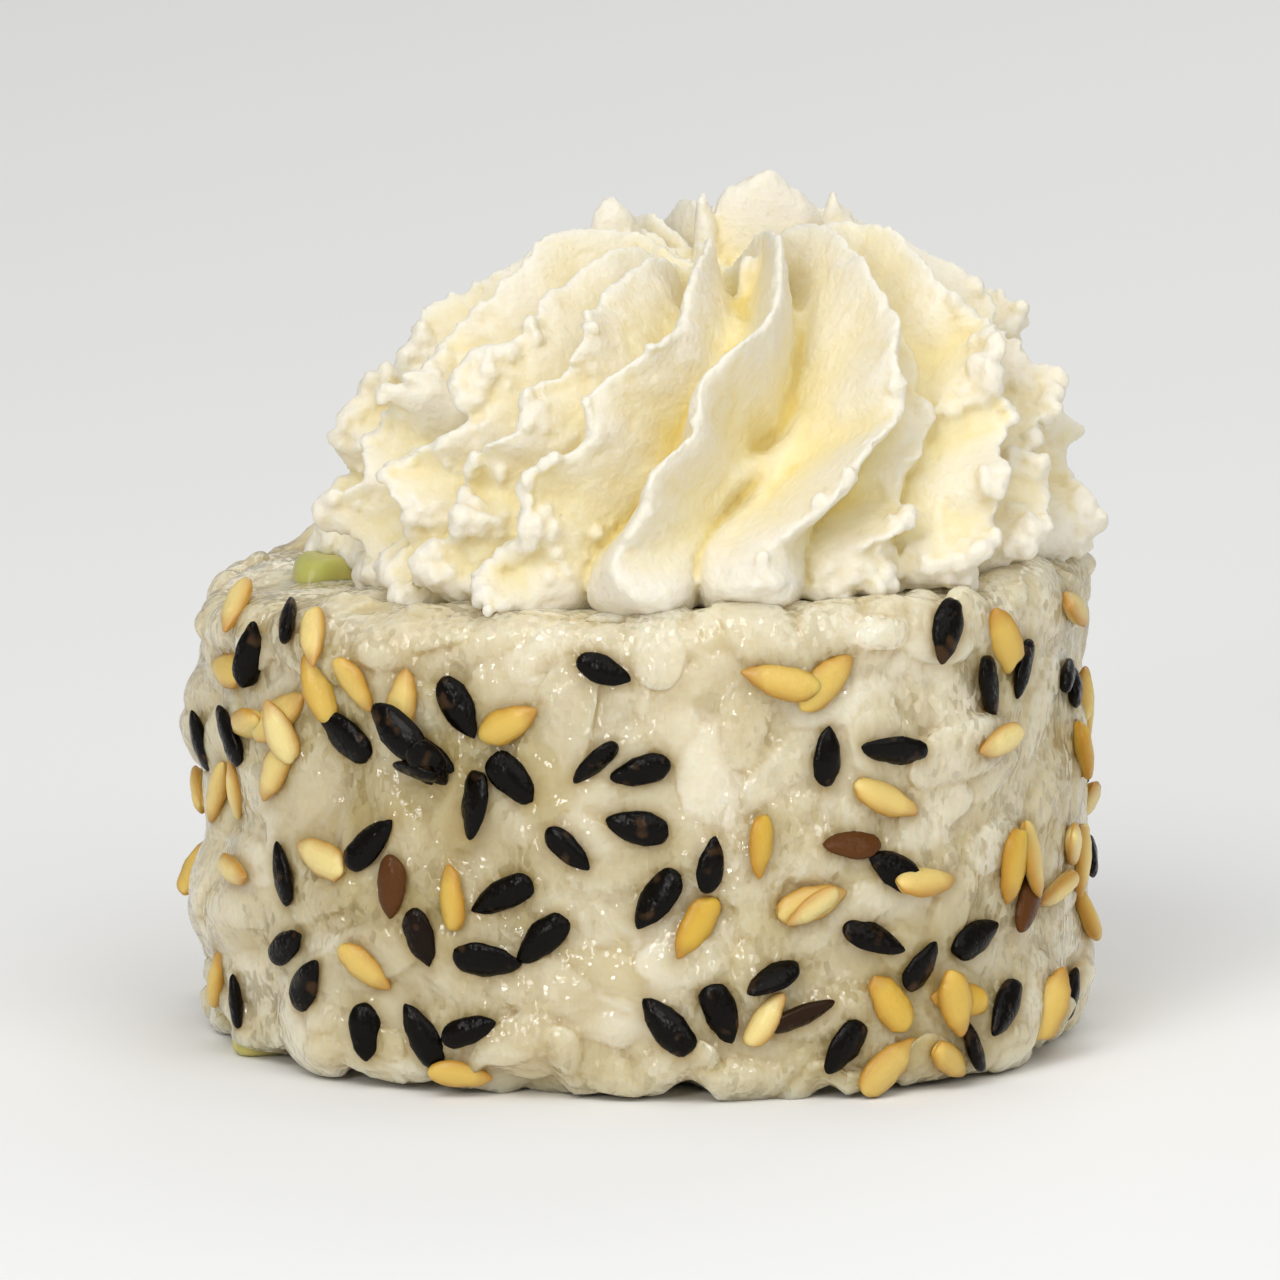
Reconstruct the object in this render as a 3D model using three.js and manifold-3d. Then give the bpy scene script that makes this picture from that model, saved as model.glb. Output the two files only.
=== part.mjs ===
// One piece of an inside-out sushi roll, standing on its cut face: a drum of sticky rice rolled in
// black and golden sesame, a strip of avocado that runs through it, and a piped rosette of cream
// cheese on top. Millimetres, +Z up, the origin at the middle of the rice's base, the front at -Y.
//
// The rice is a closed grid wrapped round the drum, pressed in between its grains. The sesame seeds
// are low-sided teardrops joined to it. The rosette is a second grid, whose columns follow the
// ridges that a star nozzle leaves, from their feet on the rice up to a hollow with torn tips.
import * as THREE from "three";
import { mergeVertices } from "three/addons/utils/BufferGeometryUtils.js";
import Module from "manifold-3d";

// ---- Driving dimensions ----

const ROLL_RADIUS = 21.8; // of the rice, without the seeds
const ROLL_HEIGHT = 23.1; // from the base to the top cut face, at the middle
const TOP_SLOPE_X = 0.045; // the upper cut isn't square: it rises to the right
const TOP_SLOPE_Y = -0.03; // and falls to the back
const EDGE_RADIUS = 1.9; // where the cut faces turn into the side
const SIDE_BULGE = 0.35; // how far the side swells at half height
const SQUARENESS = 0.018; // share by which the rolling mat has squared the round
const LOPSIDEDNESS = 0.014;
const CORNER_ANGLE = -46; // degrees, where the two add up

const GRAIN_LENGTH = 6.4;
const GRAIN_WIDTH = 2.9;
const GROOVE_DEPTH = 0.8; // between two grains

const SEED_LENGTH = 3.4;
const SEED_WIDTH = 1.85;
const SEED_THICKNESS = 1.0;
const SEED_SUNK = 0.4; // how deep its underside is pressed into the rice

const STRIP_LONG = 7.4; // across the avocado strip's section
const STRIP_SHORT = 4.0;
const STRIP_TOP = new THREE.Vector2(-14.6, -1.4); // where its middle leaves the upper cut
const STRIP_FOOT = new THREE.Vector2(-17.6, -6.2); // and where it meets the base
const STRIP_TURN = 68; // degrees, the section's long side from +X
const STRIP_PROUD = 0.9; // above the rice, where the cut has let it swell
const STRIP_ROUNDING = 0.7; // of its two ends

const CREAM_CENTRE = new THREE.Vector2(2.8, -2.4);
const CREAM_RADIUS = 18.3; // over the ridges, at the foot
const CREAM_HEIGHT = 17.6; // of the dome, without the torn tips
const HOLLOW_DEPTH = 3.0; // in the middle of its top
const HOLLOW_RADIUS = 4.2;
const RIDGE_DEPTH = 4.6; // from a crest to the valley beside it
const CREST_REACH = 2.6; // from a crest to where the valley's floor begins
const CREST_SHARPNESS = 1.7; // 1 would make the valleys V-shaped, more makes the crests thinner
const CREST_LEAN = 1.1; // how far a crest leans away from the front
const LOBE_REACH = 0.5; // of a foot's lobe, as a share of the way to the next ridge
const TEAR_DEPTH = 0.5; // of the waves along a crest
const FOOT_HEIGHT = 1.8; // the dome's widest level
const FOOT_TUCK = 1.3; // how far it draws in under that level
const PEAK_LEAN = 2.0; // sideways, from the middle of the foot

// The ridges that show from the front, from left to right: their angles in degrees from the front at
// these levels, 0 being the foot and 1 the top, and how strong each is above and at the foot.
const RIDGE_LEVELS = [0, 0.2, 0.4, 0.6, 0.8, 0.95];
const FRONT_RIDGES = [
  { angles: [-92, -94, -92, -88, -88, -94], strength: 1, footStrength: 1 },
  { angles: [-69, -69, -69, -63, -66, -74], strength: 1, footStrength: 0.9 },
  { angles: [-56, -54, -53, -46, -47, -54], strength: 0.85, footStrength: 0.8 },
  { angles: [-46, -42, -38, -29, -27, -32], strength: 0.8, footStrength: 0.8 },
  { angles: [-34, -29, -22, -15, -4, -4], strength: 1, footStrength: 0.8 },
  { angles: [-10, -12, -4, -1, 12, 17], strength: 1.05, footStrength: 1 },
  { angles: [8, 10, 24, 33, 34, 46], strength: 1.05, footStrength: 1 },
  { angles: [27, 29, 39, 46, 48, 58], strength: 0.3, footStrength: 0.7 },
  { angles: [46, 47, 53, 57, 61, 70], strength: 1, footStrength: 0.9 },
  { angles: [60, 62, 70, 78, 87, 92], strength: 0.95, footStrength: 0.9 },
  { angles: [79, 85, 90, 101, 111, 118], strength: 0.95, footStrength: 1.1 },
];
const BACK_RIDGES = 7; // shared out evenly over the rest of the turn

// The torn tips on top, as flat tongues: where each stands from the middle of the foot, how high it
// ends over the foot, its width, its thickness, and its turn in degrees.
const TIPS = [
  { x: 3.0, y: 2.6, top: 18.6, width: 6.2, thickness: 2.0, turn: 8 },
  { x: 0.6, y: 1.8, top: 17.8, width: 1.5, thickness: 1.3, turn: -20 },
  { x: -4.0, y: 1.6, top: 17.9, width: 3.4, thickness: 1.7, turn: 10 },
  { x: 6.9, y: 1.4, top: 17.8, width: 1.6, thickness: 1.3, turn: 0 },
];
const TIP_LENGTH = 7.0; // down into the rosette

const GAP = 0.3; // kept between pieces that touch

// The fineness of the grids.
const ROLL_COLUMNS = 64;
const SIDE_ROWS = 10;
const SEED_SIDES = 5;
const RIDGE_COLUMNS = [0, 0.16, 0.38, 0.62, 0.84]; // on the way from one ridge to the next
const CREAM_ROWS = 14;
const TIP_SIDES = 5;

// Two seeds lie closer than this only where a group has no room left after so many tries.
const SEED_CROWD = 2.1;
const SEED_TRIES = 12;

// Groups of seeds, read off the object from left to right and then round its back:
// the angle from the front in degrees, the height, the spread, and how many black and golden ones.
const SEED_GROUPS = [
  [-68, 3.2, 1.4, 1, 1],
  [-65, 17.7, 1.3, 1, 1],
  [-64, 11.8, 2.9, 0, 3],
  [-61, 21.2, 1.8, 1, 1],
  [-52, 17.2, 2.1, 0, 4],
  [-47, 21.5, 2.1, 1, 1],
  [-47, 10.0, 1.1, 1, 1],
  [-46, 5.6, 1.7, 2, 0],
  [-39, 18.2, 2.2, 1, 3],
  [-35, 10.2, 2.0, 3, 0],
  [-30, 3.9, 2.3, 3, 2],
  [-27, 17.7, 2.1, 6, 0],
  [-21, 8.9, 2.4, 3, 1],
  [-19, 15.4, 1.2, 2, 0],
  [-10, 19.6, 2.2, 1, 1],
  [-5, 15.0, 3.2, 4, 0],
  [5, 3.9, 1.7, 2, 0],
  [6, 9.7, 2.5, 2, 2],
  [17, 5.3, 1.5, 2, 1],
  [17, 21.8, 2.4, 0, 2],
  [19, 8.1, 1.2, 0, 2],
  [25, 15.0, 2.2, 3, 1],
  [26, 2.6, 1.6, 1, 2],
  [30, 9.3, 1.4, 2, 0],
  [35, 10.2, 0.6, 0, 1],
  [39, 5.7, 1.9, 2, 1],
  [46, 2.8, 1.9, 2, 2],
  [48, 19.6, 2.8, 3, 2],
  [53, 9.3, 1.4, 1, 2],
  [65, 8.3, 3.0, 0, 2],
  [67, 2.4, 2.6, 1, 2],
  [68, 18.4, 2.8, 2, 2],
  [92, 12.0, 9.0, 4, 7],
  [122, 7.0, 7.0, 6, 2],
  [138, 16.0, 7.0, 2, 5],
  [165, 11.0, 9.0, 6, 3],
  [195, 6.0, 7.0, 3, 4],
  [205, 17.0, 7.0, 5, 2],
  [232, 11.0, 8.0, 3, 6],
  [262, 8.0, 8.0, 4, 4],
];

// ---- Numbers ----

const degrees = THREE.MathUtils.degToRad;

// A small generator of even random numbers, the same on every run.
function randomStream(seed) {
  let state = seed >>> 0;
  return () => {
    state = (Math.imul(state, 1664525) + 1013904223) >>> 0;
    return state / 4294967296;
  };
}

// ---- Solids ----

const wasm = await Module();
wasm.setup();

// A closed THREE geometry as a solid.
function solidFrom(geometry) {
  const bare = geometry.index ? geometry.toNonIndexed() : geometry.clone();
  bare.deleteAttribute("normal");
  bare.deleteAttribute("uv");
  const merged = mergeVertices(bare, 1e-4);
  return new wasm.Manifold(
    new wasm.Mesh({
      numProp: 3,
      vertProperties: merged.attributes.position.array,
      triVerts: new Uint32Array(merged.index.array),
    }),
  );
}

// And back again.
function geometryFrom(solid) {
  const { vertProperties, triVerts } = solid.getMesh();
  const geometry = new THREE.BufferGeometry();
  geometry.setAttribute("position", new THREE.BufferAttribute(vertProperties, 3));
  geometry.setIndex(new THREE.BufferAttribute(triVerts, 1));
  geometry.computeVertexNormals();
  return geometry;
}

// A closed skin through rings of points, all of one length, from a lower pole to an upper one.
// The rings run anticlockwise as seen from above the upper pole.
function skin(lowerPole, rings, upperPole) {
  const count = rings[0].length;
  const points = [lowerPole, ...rings.flat(), upperPole];
  const top = points.length - 1;
  const faces = [];
  for (let j = 0; j < count; j++) {
    const next = (j + 1) % count;
    faces.push(0, 1 + next, 1 + j);
    for (let i = 0; i < rings.length - 1; i++) {
      const a = 1 + i * count + j;
      const b = 1 + i * count + next;
      faces.push(a, b, b + count, a, b + count, a + count);
    }
    const last = 1 + (rings.length - 1) * count;
    faces.push(last + j, last + next, top);
  }
  const geometry = new THREE.BufferGeometry().setFromPoints(points);
  geometry.setIndex(faces);
  return geometry;
}

// ---- The drum of rice ----

// The rice's radius in a direction, seen from above.
function outlineRadius(angle) {
  const fromCorner = angle - degrees(CORNER_ANGLE);
  const squared = SQUARENESS * Math.cos(4 * fromCorner);
  const lopsided = LOPSIDEDNESS * Math.cos(3 * fromCorner);
  return ROLL_RADIUS * (1 + squared + lopsided);
}

// The height of the upper cut over a point of the base.
function topHeight(x, y) {
  return ROLL_HEIGHT + TOP_SLOPE_X * x + TOP_SLOPE_Y * y;
}

const EDGE_ARC = (EDGE_RADIUS * Math.PI) / 2;

// How long the straight part of the side is in a direction.
function sideLength(angle) {
  const inner = outlineRadius(angle) - EDGE_RADIUS;
  return topHeight(inner * Math.cos(angle), inner * Math.sin(angle)) - 2 * EDGE_RADIUS;
}

// The drum's surface: along is the way up it, 0 where the base ends and the lower edge begins.
// Returns the point, and the outward normal there.
function drumPoint(angle, along) {
  const radius = outlineRadius(angle);
  const inner = radius - EDGE_RADIUS;
  const side = sideLength(angle);
  const upper = along - EDGE_ARC - side; // how far into the upper edge
  let rho = inner + Math.min(along, 0);
  let z = 0;
  let tilt = -Math.PI / 2; // of the normal above the horizon
  if (upper > 0) {
    tilt = Math.min(upper, EDGE_ARC) / EDGE_RADIUS;
    rho = inner + EDGE_RADIUS * Math.cos(tilt) - Math.max(upper - EDGE_ARC, 0);
    z = side + EDGE_RADIUS * (1 + Math.sin(tilt));
  } else if (along > 0) {
    tilt = Math.min(along / EDGE_RADIUS, Math.PI / 2) - Math.PI / 2;
    rho = inner + EDGE_RADIUS * Math.cos(tilt);
    z = EDGE_RADIUS * (1 + Math.sin(tilt)) + Math.max(along - EDGE_ARC, 0);
    rho += SIDE_BULGE * Math.sin((Math.PI * Math.max(along - EDGE_ARC, 0)) / side);
  }
  const out = new THREE.Vector3(Math.cos(angle), Math.sin(angle), 0);
  const point = out.clone().multiplyScalar(rho).setZ(z);
  if (upper > EDGE_ARC) point.z = topHeight(point.x, point.y);
  const normal = out.clone().multiplyScalar(Math.cos(tilt)).setZ(Math.sin(tilt));
  return { point, normal };
}

// The grains of the outer layer, in rows round the drum: where each lies on the unrolled side, and
// how it is turned.
function layGrains() {
  const random = randomStream(7);
  const turn = 2 * Math.PI * ROLL_RADIUS;
  const perRow = Math.round(turn / (GRAIN_LENGTH * 0.72));
  const rowStep = GRAIN_WIDTH * 0.82;
  const rows = Math.ceil((ROLL_HEIGHT + 4 * EDGE_RADIUS) / rowStep);
  const grains = [];
  for (let row = 0; row < rows; row++) {
    for (let k = 0; k < perRow; k++) {
      grains.push({
        across: ((k + (row % 2) / 2 + 0.5 * random()) / perRow) * turn,
        along: (row - 1 + 0.7 * random()) * rowStep,
        turn: Math.PI * random(),
        proud: random(),
      });
    }
  }
  return grains;
}

const GRAINS = layGrains();

// How deep the rice lies under its pressed outer surface: 0 on a grain, GROOVE_DEPTH between them.
function grooveDepth(angle, along) {
  const turn = 2 * Math.PI * ROLL_RADIUS;
  const across = THREE.MathUtils.euclideanModulo(angle * ROLL_RADIUS, turn);
  let height = 0;
  for (const grain of GRAINS) {
    let dx = across - grain.across;
    dx -= turn * Math.round(dx / turn);
    const dy = along - grain.along;
    const u = (dx * Math.cos(grain.turn) + dy * Math.sin(grain.turn)) / (GRAIN_LENGTH / 2);
    const v = (dy * Math.cos(grain.turn) - dx * Math.sin(grain.turn)) / (GRAIN_WIDTH / 2);
    const rise = 1 - u * u - v * v;
    if (rise > 0) height = Math.max(height, Math.sqrt(rise) * (0.75 + 0.5 * grain.proud));
  }
  return GROOVE_DEPTH * (1 - Math.min(height, 1));
}

// The rice without its seeds. Its base is flat, and no grain stands above the upper cut.
function riceDrum() {
  const rings = [];
  const addRing = (alongAt, grooved) => {
    const ring = [];
    for (let j = 0; j < ROLL_COLUMNS; j++) {
      const angle = (2 * Math.PI * (j + (rings.length % 2) / 2)) / ROLL_COLUMNS;
      const along = alongAt(angle);
      const { point, normal } = drumPoint(angle, along);
      ring.push(point.addScaledVector(normal, -grooved * grooveDepth(angle, along)));
    }
    rings.push(ring);
  };
  const FLAT_MARGIN = 1.6; // of each cut face that the grains still mark
  addRing(() => -FLAT_MARGIN, 0);
  addRing(() => 0, 0);
  addRing(() => EDGE_ARC / 2, 0.6);
  for (let i = 0; i <= SIDE_ROWS; i++) {
    addRing((angle) => EDGE_ARC + (sideLength(angle) * i) / SIDE_ROWS, 1);
  }
  addRing((angle) => sideLength(angle) + 1.5 * EDGE_ARC, 0.9);
  addRing((angle) => sideLength(angle) + 2 * EDGE_ARC, 0.8);
  addRing((angle) => sideLength(angle) + 2 * EDGE_ARC + FLAT_MARGIN, 0.6);
  addRing((angle) => sideLength(angle) + 2 * EDGE_ARC + 3 * FLAT_MARGIN, 0);
  const upperPole = new THREE.Vector3(0, 0, topHeight(0, 0));
  return skin(new THREE.Vector3(0, 0, 0), rings, upperPole);
}

// ---- Sesame ----

// A flat teardrop along +X, its blunt end first, lying on z = 0 with its thickness above and below.
function seedGeometry() {
  const stations = [
    [0.24, 0.88],
    [0.66, 0.8],
  ]; // share of the length, share of the width
  const rings = stations.map(([at, share]) => {
    const ring = [];
    for (let k = 0; k < SEED_SIDES; k++) {
      const angle = (2 * Math.PI * (k - 0.25)) / SEED_SIDES;
      ring.push(
        new THREE.Vector3(
          (at - 0.5) * SEED_LENGTH,
          (Math.cos(angle) * share * SEED_WIDTH) / 2,
          (Math.sin(angle) * share * SEED_THICKNESS) / 2,
        ),
      );
    }
    return ring;
  });
  const blunt = new THREE.Vector3(-SEED_LENGTH / 2, 0, 0);
  const tip = new THREE.Vector3(SEED_LENGTH / 2, 0, 0);
  return skin(blunt, rings, tip);
}

// Where every seed lies: its angle round the roll, its height, and how it is turned, tipped and
// scaled.
function scatterSeeds() {
  const random = randomStream(41);
  const offset = (spread) => (random() + random() - 1) * 1.5 * spread;
  const seeds = [];
  for (const [azimuth, height, spread, black, golden] of SEED_GROUPS) {
    for (let k = 0; k < black + golden; k++) {
      const turn = 2 * Math.PI * random();
      const reach = 0.5 * SEED_LENGTH * Math.abs(Math.sin(turn)); // up and down the side
      let angle, at;
      for (let attempt = 0; attempt < SEED_TRIES; attempt++) {
        angle = degrees(azimuth - 90) + offset(spread) / ROLL_RADIUS;
        at = THREE.MathUtils.clamp(height + offset(spread), reach + 0.5, ROLL_HEIGHT - 0.9);
        const distance = (other) => Math.hypot((other.angle - angle) * ROLL_RADIUS, other.height - at);
        if (seeds.every((other) => distance(other) > SEED_CROWD)) break;
      }
      seeds.push({
        angle,
        height: at,
        turn,
        tip: 0.5 * (random() - 0.5),
        size: (k >= black ? 0.88 : 0.78) + 0.24 * random(), // the black ones are smaller
      });
    }
  }
  return seeds;
}

// The matrix that lays a seed on the rice, on the middle level of what is under it.
function seedPlace({ angle, height, turn, tip, size }) {
  const along = height + EDGE_ARC - EDGE_RADIUS; // the edge's arc is longer than it is high
  const { point, normal } = drumPoint(angle, along);
  const depths = [-0.3, 0, 0.3].map((share) => {
    const aside = share * SEED_LENGTH * Math.cos(turn);
    const up = share * SEED_LENGTH * Math.sin(turn);
    return grooveDepth(angle + aside / ROLL_RADIUS, along + up);
  });
  const sunk = SEED_SUNK + depths.reduce((sum, depth) => sum + depth, 0) / depths.length;
  const around = new THREE.Vector3(-Math.sin(angle), Math.cos(angle), 0);
  const upward = new THREE.Vector3().crossVectors(normal, around);
  return new THREE.Matrix4()
    .makeBasis(around, upward, normal)
    .setPosition(point.addScaledVector(normal, 0.5 * SEED_THICKNESS - sunk))
    .multiply(new THREE.Matrix4().makeRotationZ(turn))
    .multiply(new THREE.Matrix4().makeRotationY(tip))
    .multiply(new THREE.Matrix4().makeScale(size, size, size));
}

// ---- The avocado strip ----

// A lens-shaped bar from the base to just above the upper cut. Grown by a clearance, and longer
// both ways, it is also what the rice and the rosette are cut with.
function avocadoStrip(clearance) {
  const section = new THREE.Shape();
  section.absellipse(0, 0, STRIP_LONG / 2 + clearance, STRIP_SHORT / 2 + clearance, 0, 2 * Math.PI);
  const length = topHeight(STRIP_TOP.x, STRIP_TOP.y) + STRIP_PROUD;
  const geometry = new THREE.ExtrudeGeometry(section, {
    depth: length + 2 * clearance - 2 * STRIP_ROUNDING,
    curveSegments: 7,
    bevelThickness: STRIP_ROUNDING,
    bevelSize: STRIP_ROUNDING,
    bevelOffset: -STRIP_ROUNDING,
    bevelSegments: 2,
  });
  geometry.rotateZ(degrees(STRIP_TURN));
  geometry.translate(0, 0, STRIP_ROUNDING - clearance);
  const lean = STRIP_TOP.clone().sub(STRIP_FOOT).divideScalar(length);
  geometry.applyMatrix4(new THREE.Matrix4().makeShear(0, 0, 0, 0, lean.x, lean.y));
  geometry.translate(STRIP_FOOT.x, STRIP_FOOT.y, 0);
  return geometry;
}

// ---- The rosette ----

// Every ridge, anticlockwise from above, with the phase of the waves torn into its crest. Those at
// the back share what the front ones leave of the turn.
function layRidges() {
  const random = randomStream(23);
  const ridges = FRONT_RIDGES.map((ridge) => ({ ...ridge }));
  const [first, last] = [ridges[0], ridges.at(-1)];
  for (let k = 1; k <= BACK_RIDGES; k++) {
    const share = (k + 0.3 * (random() - 0.5)) / (BACK_RIDGES + 1);
    ridges.push({
      angles: last.angles.map((angle, i) => THREE.MathUtils.lerp(angle, first.angles[i] + 360, share)),
      strength: 0.8 + 0.2 * random(),
      footStrength: 0.8 + 0.2 * random(),
    });
  }
  for (const ridge of ridges) ridge.wave = 2 * Math.PI * random();
  return ridges;
}

const RIDGES = layRidges();

// Where a ridge runs at a level: straight between its angles.
function ridgeAngle({ angles }, level) {
  const above = RIDGE_LEVELS.findIndex((at, i) => i > 0 && at >= level);
  if (above < 0) return angles.at(-1);
  const share = (level - RIDGE_LEVELS[above - 1]) / (RIDGE_LEVELS[above] - RIDGE_LEVELS[above - 1]);
  return THREE.MathUtils.lerp(angles[above - 1], angles[above], share);
}

// The dome over the crests: its radius and height at a rise from 0 at the foot to a quarter turn.
function domeSection(rise) {
  const share = Math.sin(rise) ** 0.91;
  return new THREE.Vector2(CREAM_RADIUS * (1 - share ** 2.5) ** 0.55, CREAM_HEIGHT * share);
}

// A point of the rosette over the middle of its foot: up runs from 0 at the foot to 1 at the top,
// and way from 0 on one ridge to 1 on the next.
function creamPoint(index, way, up) {
  const [ridge, next] = [RIDGES[index], RIDGES[(index + 1) % RIDGES.length]];
  const wrap = index + 1 < RIDGES.length ? 0 : 360;

  // The dome, its direction outwards, the foot drawn in, and the hollow in the top.
  const rise = (up * Math.PI) / 2;
  const section = domeSection(rise);
  const climb = domeSection(rise + 0.01).sub(section).normalize();
  const rho = section.x - FOOT_TUCK * Math.max(1 - section.y / FOOT_HEIGHT, 0) ** 2;
  const z = section.y - HOLLOW_DEPTH * Math.exp(-((section.x / HOLLOW_RADIUS) ** 2));

  // Sharp crests and wide valleys above, round lobes with creases between them at the foot.
  const level = Math.max(z / CREAM_HEIGHT, 0);
  const atFoot = Math.exp(-((level / 0.22) ** 2));
  const [from, to] = [ridgeAngle(ridge, level), ridgeAngle(next, level) + wrap];
  const spacing = degrees(to - from) * rho; // millimetres from one crest to the next
  const reach = Math.min(CREST_REACH / spacing, 0.7);
  const crest = (distance, { strength, footStrength }) => {
    const lobe = footStrength * Math.sqrt(1 - Math.min(distance / LOBE_REACH, 1) ** 2);
    const blade = strength * (1 - Math.min(distance / reach, 1)) ** CREST_SHARPNESS;
    return THREE.MathUtils.lerp(blade, lobe, atFoot);
  };
  const height = crest(way, ridge) + crest(1 - way, next);
  const crowding = Math.sqrt(Math.min((to - from) / 20, 1.3)); // close ridges leave shallow valleys
  const nearMiddle = Math.min(rho / 5, 1); // the valleys run out towards the hollow
  let push = (height - 1) * RIDGE_DEPTH * crowding * nearMiddle * (1 - 0.2 * atFoot);

  // Waves torn into the crests, which lean away from the front.
  const nearer = way < 0.5 ? ridge : next;
  const onCrest = Math.exp(-((Math.min(way, 1 - way) * spacing) ** 2));
  push += TEAR_DEPTH * onCrest * nearMiddle * Math.sin(6.6 * Math.PI * level + nearer.wave);
  const crestAngle = way < 0.5 ? from : to;
  const side = THREE.MathUtils.clamp(3 * Math.sin(degrees(crestAngle - 3)), -1, 1);
  const lean = (CREST_LEAN * side * onCrest * (1 - atFoot)) / Math.max(rho, 3);

  const angle = degrees(THREE.MathUtils.lerp(from, to, way) - 90) + lean;
  const pushed = Math.max(rho + climb.y * push, 0.3);
  return new THREE.Vector3(
    pushed * Math.cos(angle) + PEAK_LEAN * level ** 2,
    pushed * Math.sin(angle),
    Math.max(z - climb.x * push, 0),
  );
}

function rosette() {
  const rings = [];
  for (let row = 0; row < CREAM_ROWS; row++) {
    const ring = [];
    for (let index = 0; index < RIDGES.length; index++) {
      for (const way of RIDGE_COLUMNS) ring.push(creamPoint(index, way, row / CREAM_ROWS));
    }
    rings.push(ring);
  }
  const middle = new THREE.Vector3(PEAK_LEAN, 0, CREAM_HEIGHT - HOLLOW_DEPTH);
  return skin(new THREE.Vector3(0, 0, 0), rings, middle);
}

// A flat tongue of cream that stands in the rosette and ends in a rounded tip.
function tipGeometry({ x, y, top, width, thickness, turn }) {
  const rings = [0, 0.55, 0.85].map((up) => {
    const narrowing = (1 - up ** 3.5) ** 0.6;
    const ring = [];
    for (let k = 0; k < TIP_SIDES; k++) {
      const around = (2 * Math.PI * k) / TIP_SIDES;
      const u = (narrowing * Math.cos(around) * width) / 2;
      const v = ((0.35 + 0.65 * narrowing) * Math.sin(around) * thickness) / 2;
      ring.push(new THREE.Vector3(u, v, top - TIP_LENGTH * (1 - up)));
    }
    return ring;
  });
  const geometry = skin(new THREE.Vector3(0, 0, top - TIP_LENGTH), rings, new THREE.Vector3(0, 0, top));
  return geometry.rotateZ(degrees(turn)).translate(x, y, 0);
}

// Stands a geometry that was made over its own origin on the upper cut, a gap above it.
function onUpperCut(geometry) {
  const up = new THREE.Vector3(-TOP_SLOPE_X, -TOP_SLOPE_Y, 1).normalize();
  const { x, y } = CREAM_CENTRE;
  const tilt = new THREE.Quaternion().setFromUnitVectors(new THREE.Vector3(0, 0, 1), up);
  geometry.applyQuaternion(tilt);
  geometry.translate(x, y, topHeight(x, y) + GAP);
  return geometry;
}

// ---- Assembly ----

const stripClearance = solidFrom(avocadoStrip(GAP));
const seed = seedGeometry();
const riceAndSeeds = scatterSeeds()
  .map((place) => solidFrom(seed.clone().applyMatrix4(seedPlace(place))))
  .reduce((joined, one) => joined.add(one), solidFrom(riceDrum()))
  .subtract(stripClearance);
const creamSolid = TIPS.map((tip) => solidFrom(onUpperCut(tipGeometry(tip))))
  .reduce((joined, one) => joined.add(one), solidFrom(onUpperCut(rosette())))
  .subtract(stripClearance);

const pieces = {
  rice_roll: [geometryFrom(riceAndSeeds), { color: 0xd9d4bd, roughness: 0.4 }],
  avocado_strip: [avocadoStrip(0), { color: 0xb4b75a, roughness: 0.45 }],
  cream_cheese: [geometryFrom(creamSolid), { color: 0xf6edcf, roughness: 0.6 }],
};

const roll = new THREE.Group();
for (const [name, [geometry, finish]] of Object.entries(pieces)) {
  const mesh = new THREE.Mesh(geometry, new THREE.MeshStandardMaterial({ metalness: 0, ...finish }));
  mesh.name = name;
  roll.add(mesh);
}

export default roll;
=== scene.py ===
# %% [markdown]
# # A piece of inside-out sushi roll
#
# One thick slice of a roll stands on its cut face. Sticky rice is on the outside, rolled in black
# and golden sesame, a strip of avocado runs through it near the rim, and a rosette of cream
# cheese is piped on top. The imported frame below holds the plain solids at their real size. This
# lesson dresses them: real grains of rice, real seeds and torn cream, all made in mesh code.

# %% Load the frame
import math

import bmesh
import bpy
import numpy as np
from mathutils import Matrix, Vector, noise
from mathutils.bvhtree import BVHTree
from mathutils.kdtree import KDTree


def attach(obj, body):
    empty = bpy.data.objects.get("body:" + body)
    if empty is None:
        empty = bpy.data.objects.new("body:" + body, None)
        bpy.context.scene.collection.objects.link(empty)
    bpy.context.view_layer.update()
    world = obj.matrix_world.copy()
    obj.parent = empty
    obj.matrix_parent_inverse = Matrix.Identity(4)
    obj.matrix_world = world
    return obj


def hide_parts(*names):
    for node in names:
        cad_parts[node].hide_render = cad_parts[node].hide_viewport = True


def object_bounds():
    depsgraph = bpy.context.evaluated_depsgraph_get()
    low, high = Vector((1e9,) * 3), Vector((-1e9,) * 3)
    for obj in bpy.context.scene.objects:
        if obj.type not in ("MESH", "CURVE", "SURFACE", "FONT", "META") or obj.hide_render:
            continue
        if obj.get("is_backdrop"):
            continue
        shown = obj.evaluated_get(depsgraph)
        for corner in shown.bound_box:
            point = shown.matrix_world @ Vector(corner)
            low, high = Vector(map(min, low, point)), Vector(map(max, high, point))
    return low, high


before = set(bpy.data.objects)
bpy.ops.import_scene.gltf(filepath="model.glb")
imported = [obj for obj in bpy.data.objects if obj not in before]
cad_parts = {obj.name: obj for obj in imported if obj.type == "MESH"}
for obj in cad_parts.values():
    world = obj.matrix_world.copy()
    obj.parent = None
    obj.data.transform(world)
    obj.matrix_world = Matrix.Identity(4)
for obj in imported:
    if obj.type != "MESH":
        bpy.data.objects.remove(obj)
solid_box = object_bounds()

print("solids:", sorted(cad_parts), "box in metres:", solid_box)

# %% [markdown]
# ## Working in millimetres
#
# Food this small is easiest to measure in millimetres, and Blender counts in metres, so every
# shape is worked out in millimetres and shrunk once, where its mesh is made. The random numbers
# come from a tiny generator of our own, which gives the same grains and seeds on every run, and
# the same ones that the solids were made with.

# %% Units, random numbers and meshes
MM = 0.001


def random_stream(seed):
    """Even random numbers from 0 to 1, the same on every run."""
    state = seed
    while True:
        state = (state * 1664525 + 1013904223) % 2**32
        yield state / 2**32


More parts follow.
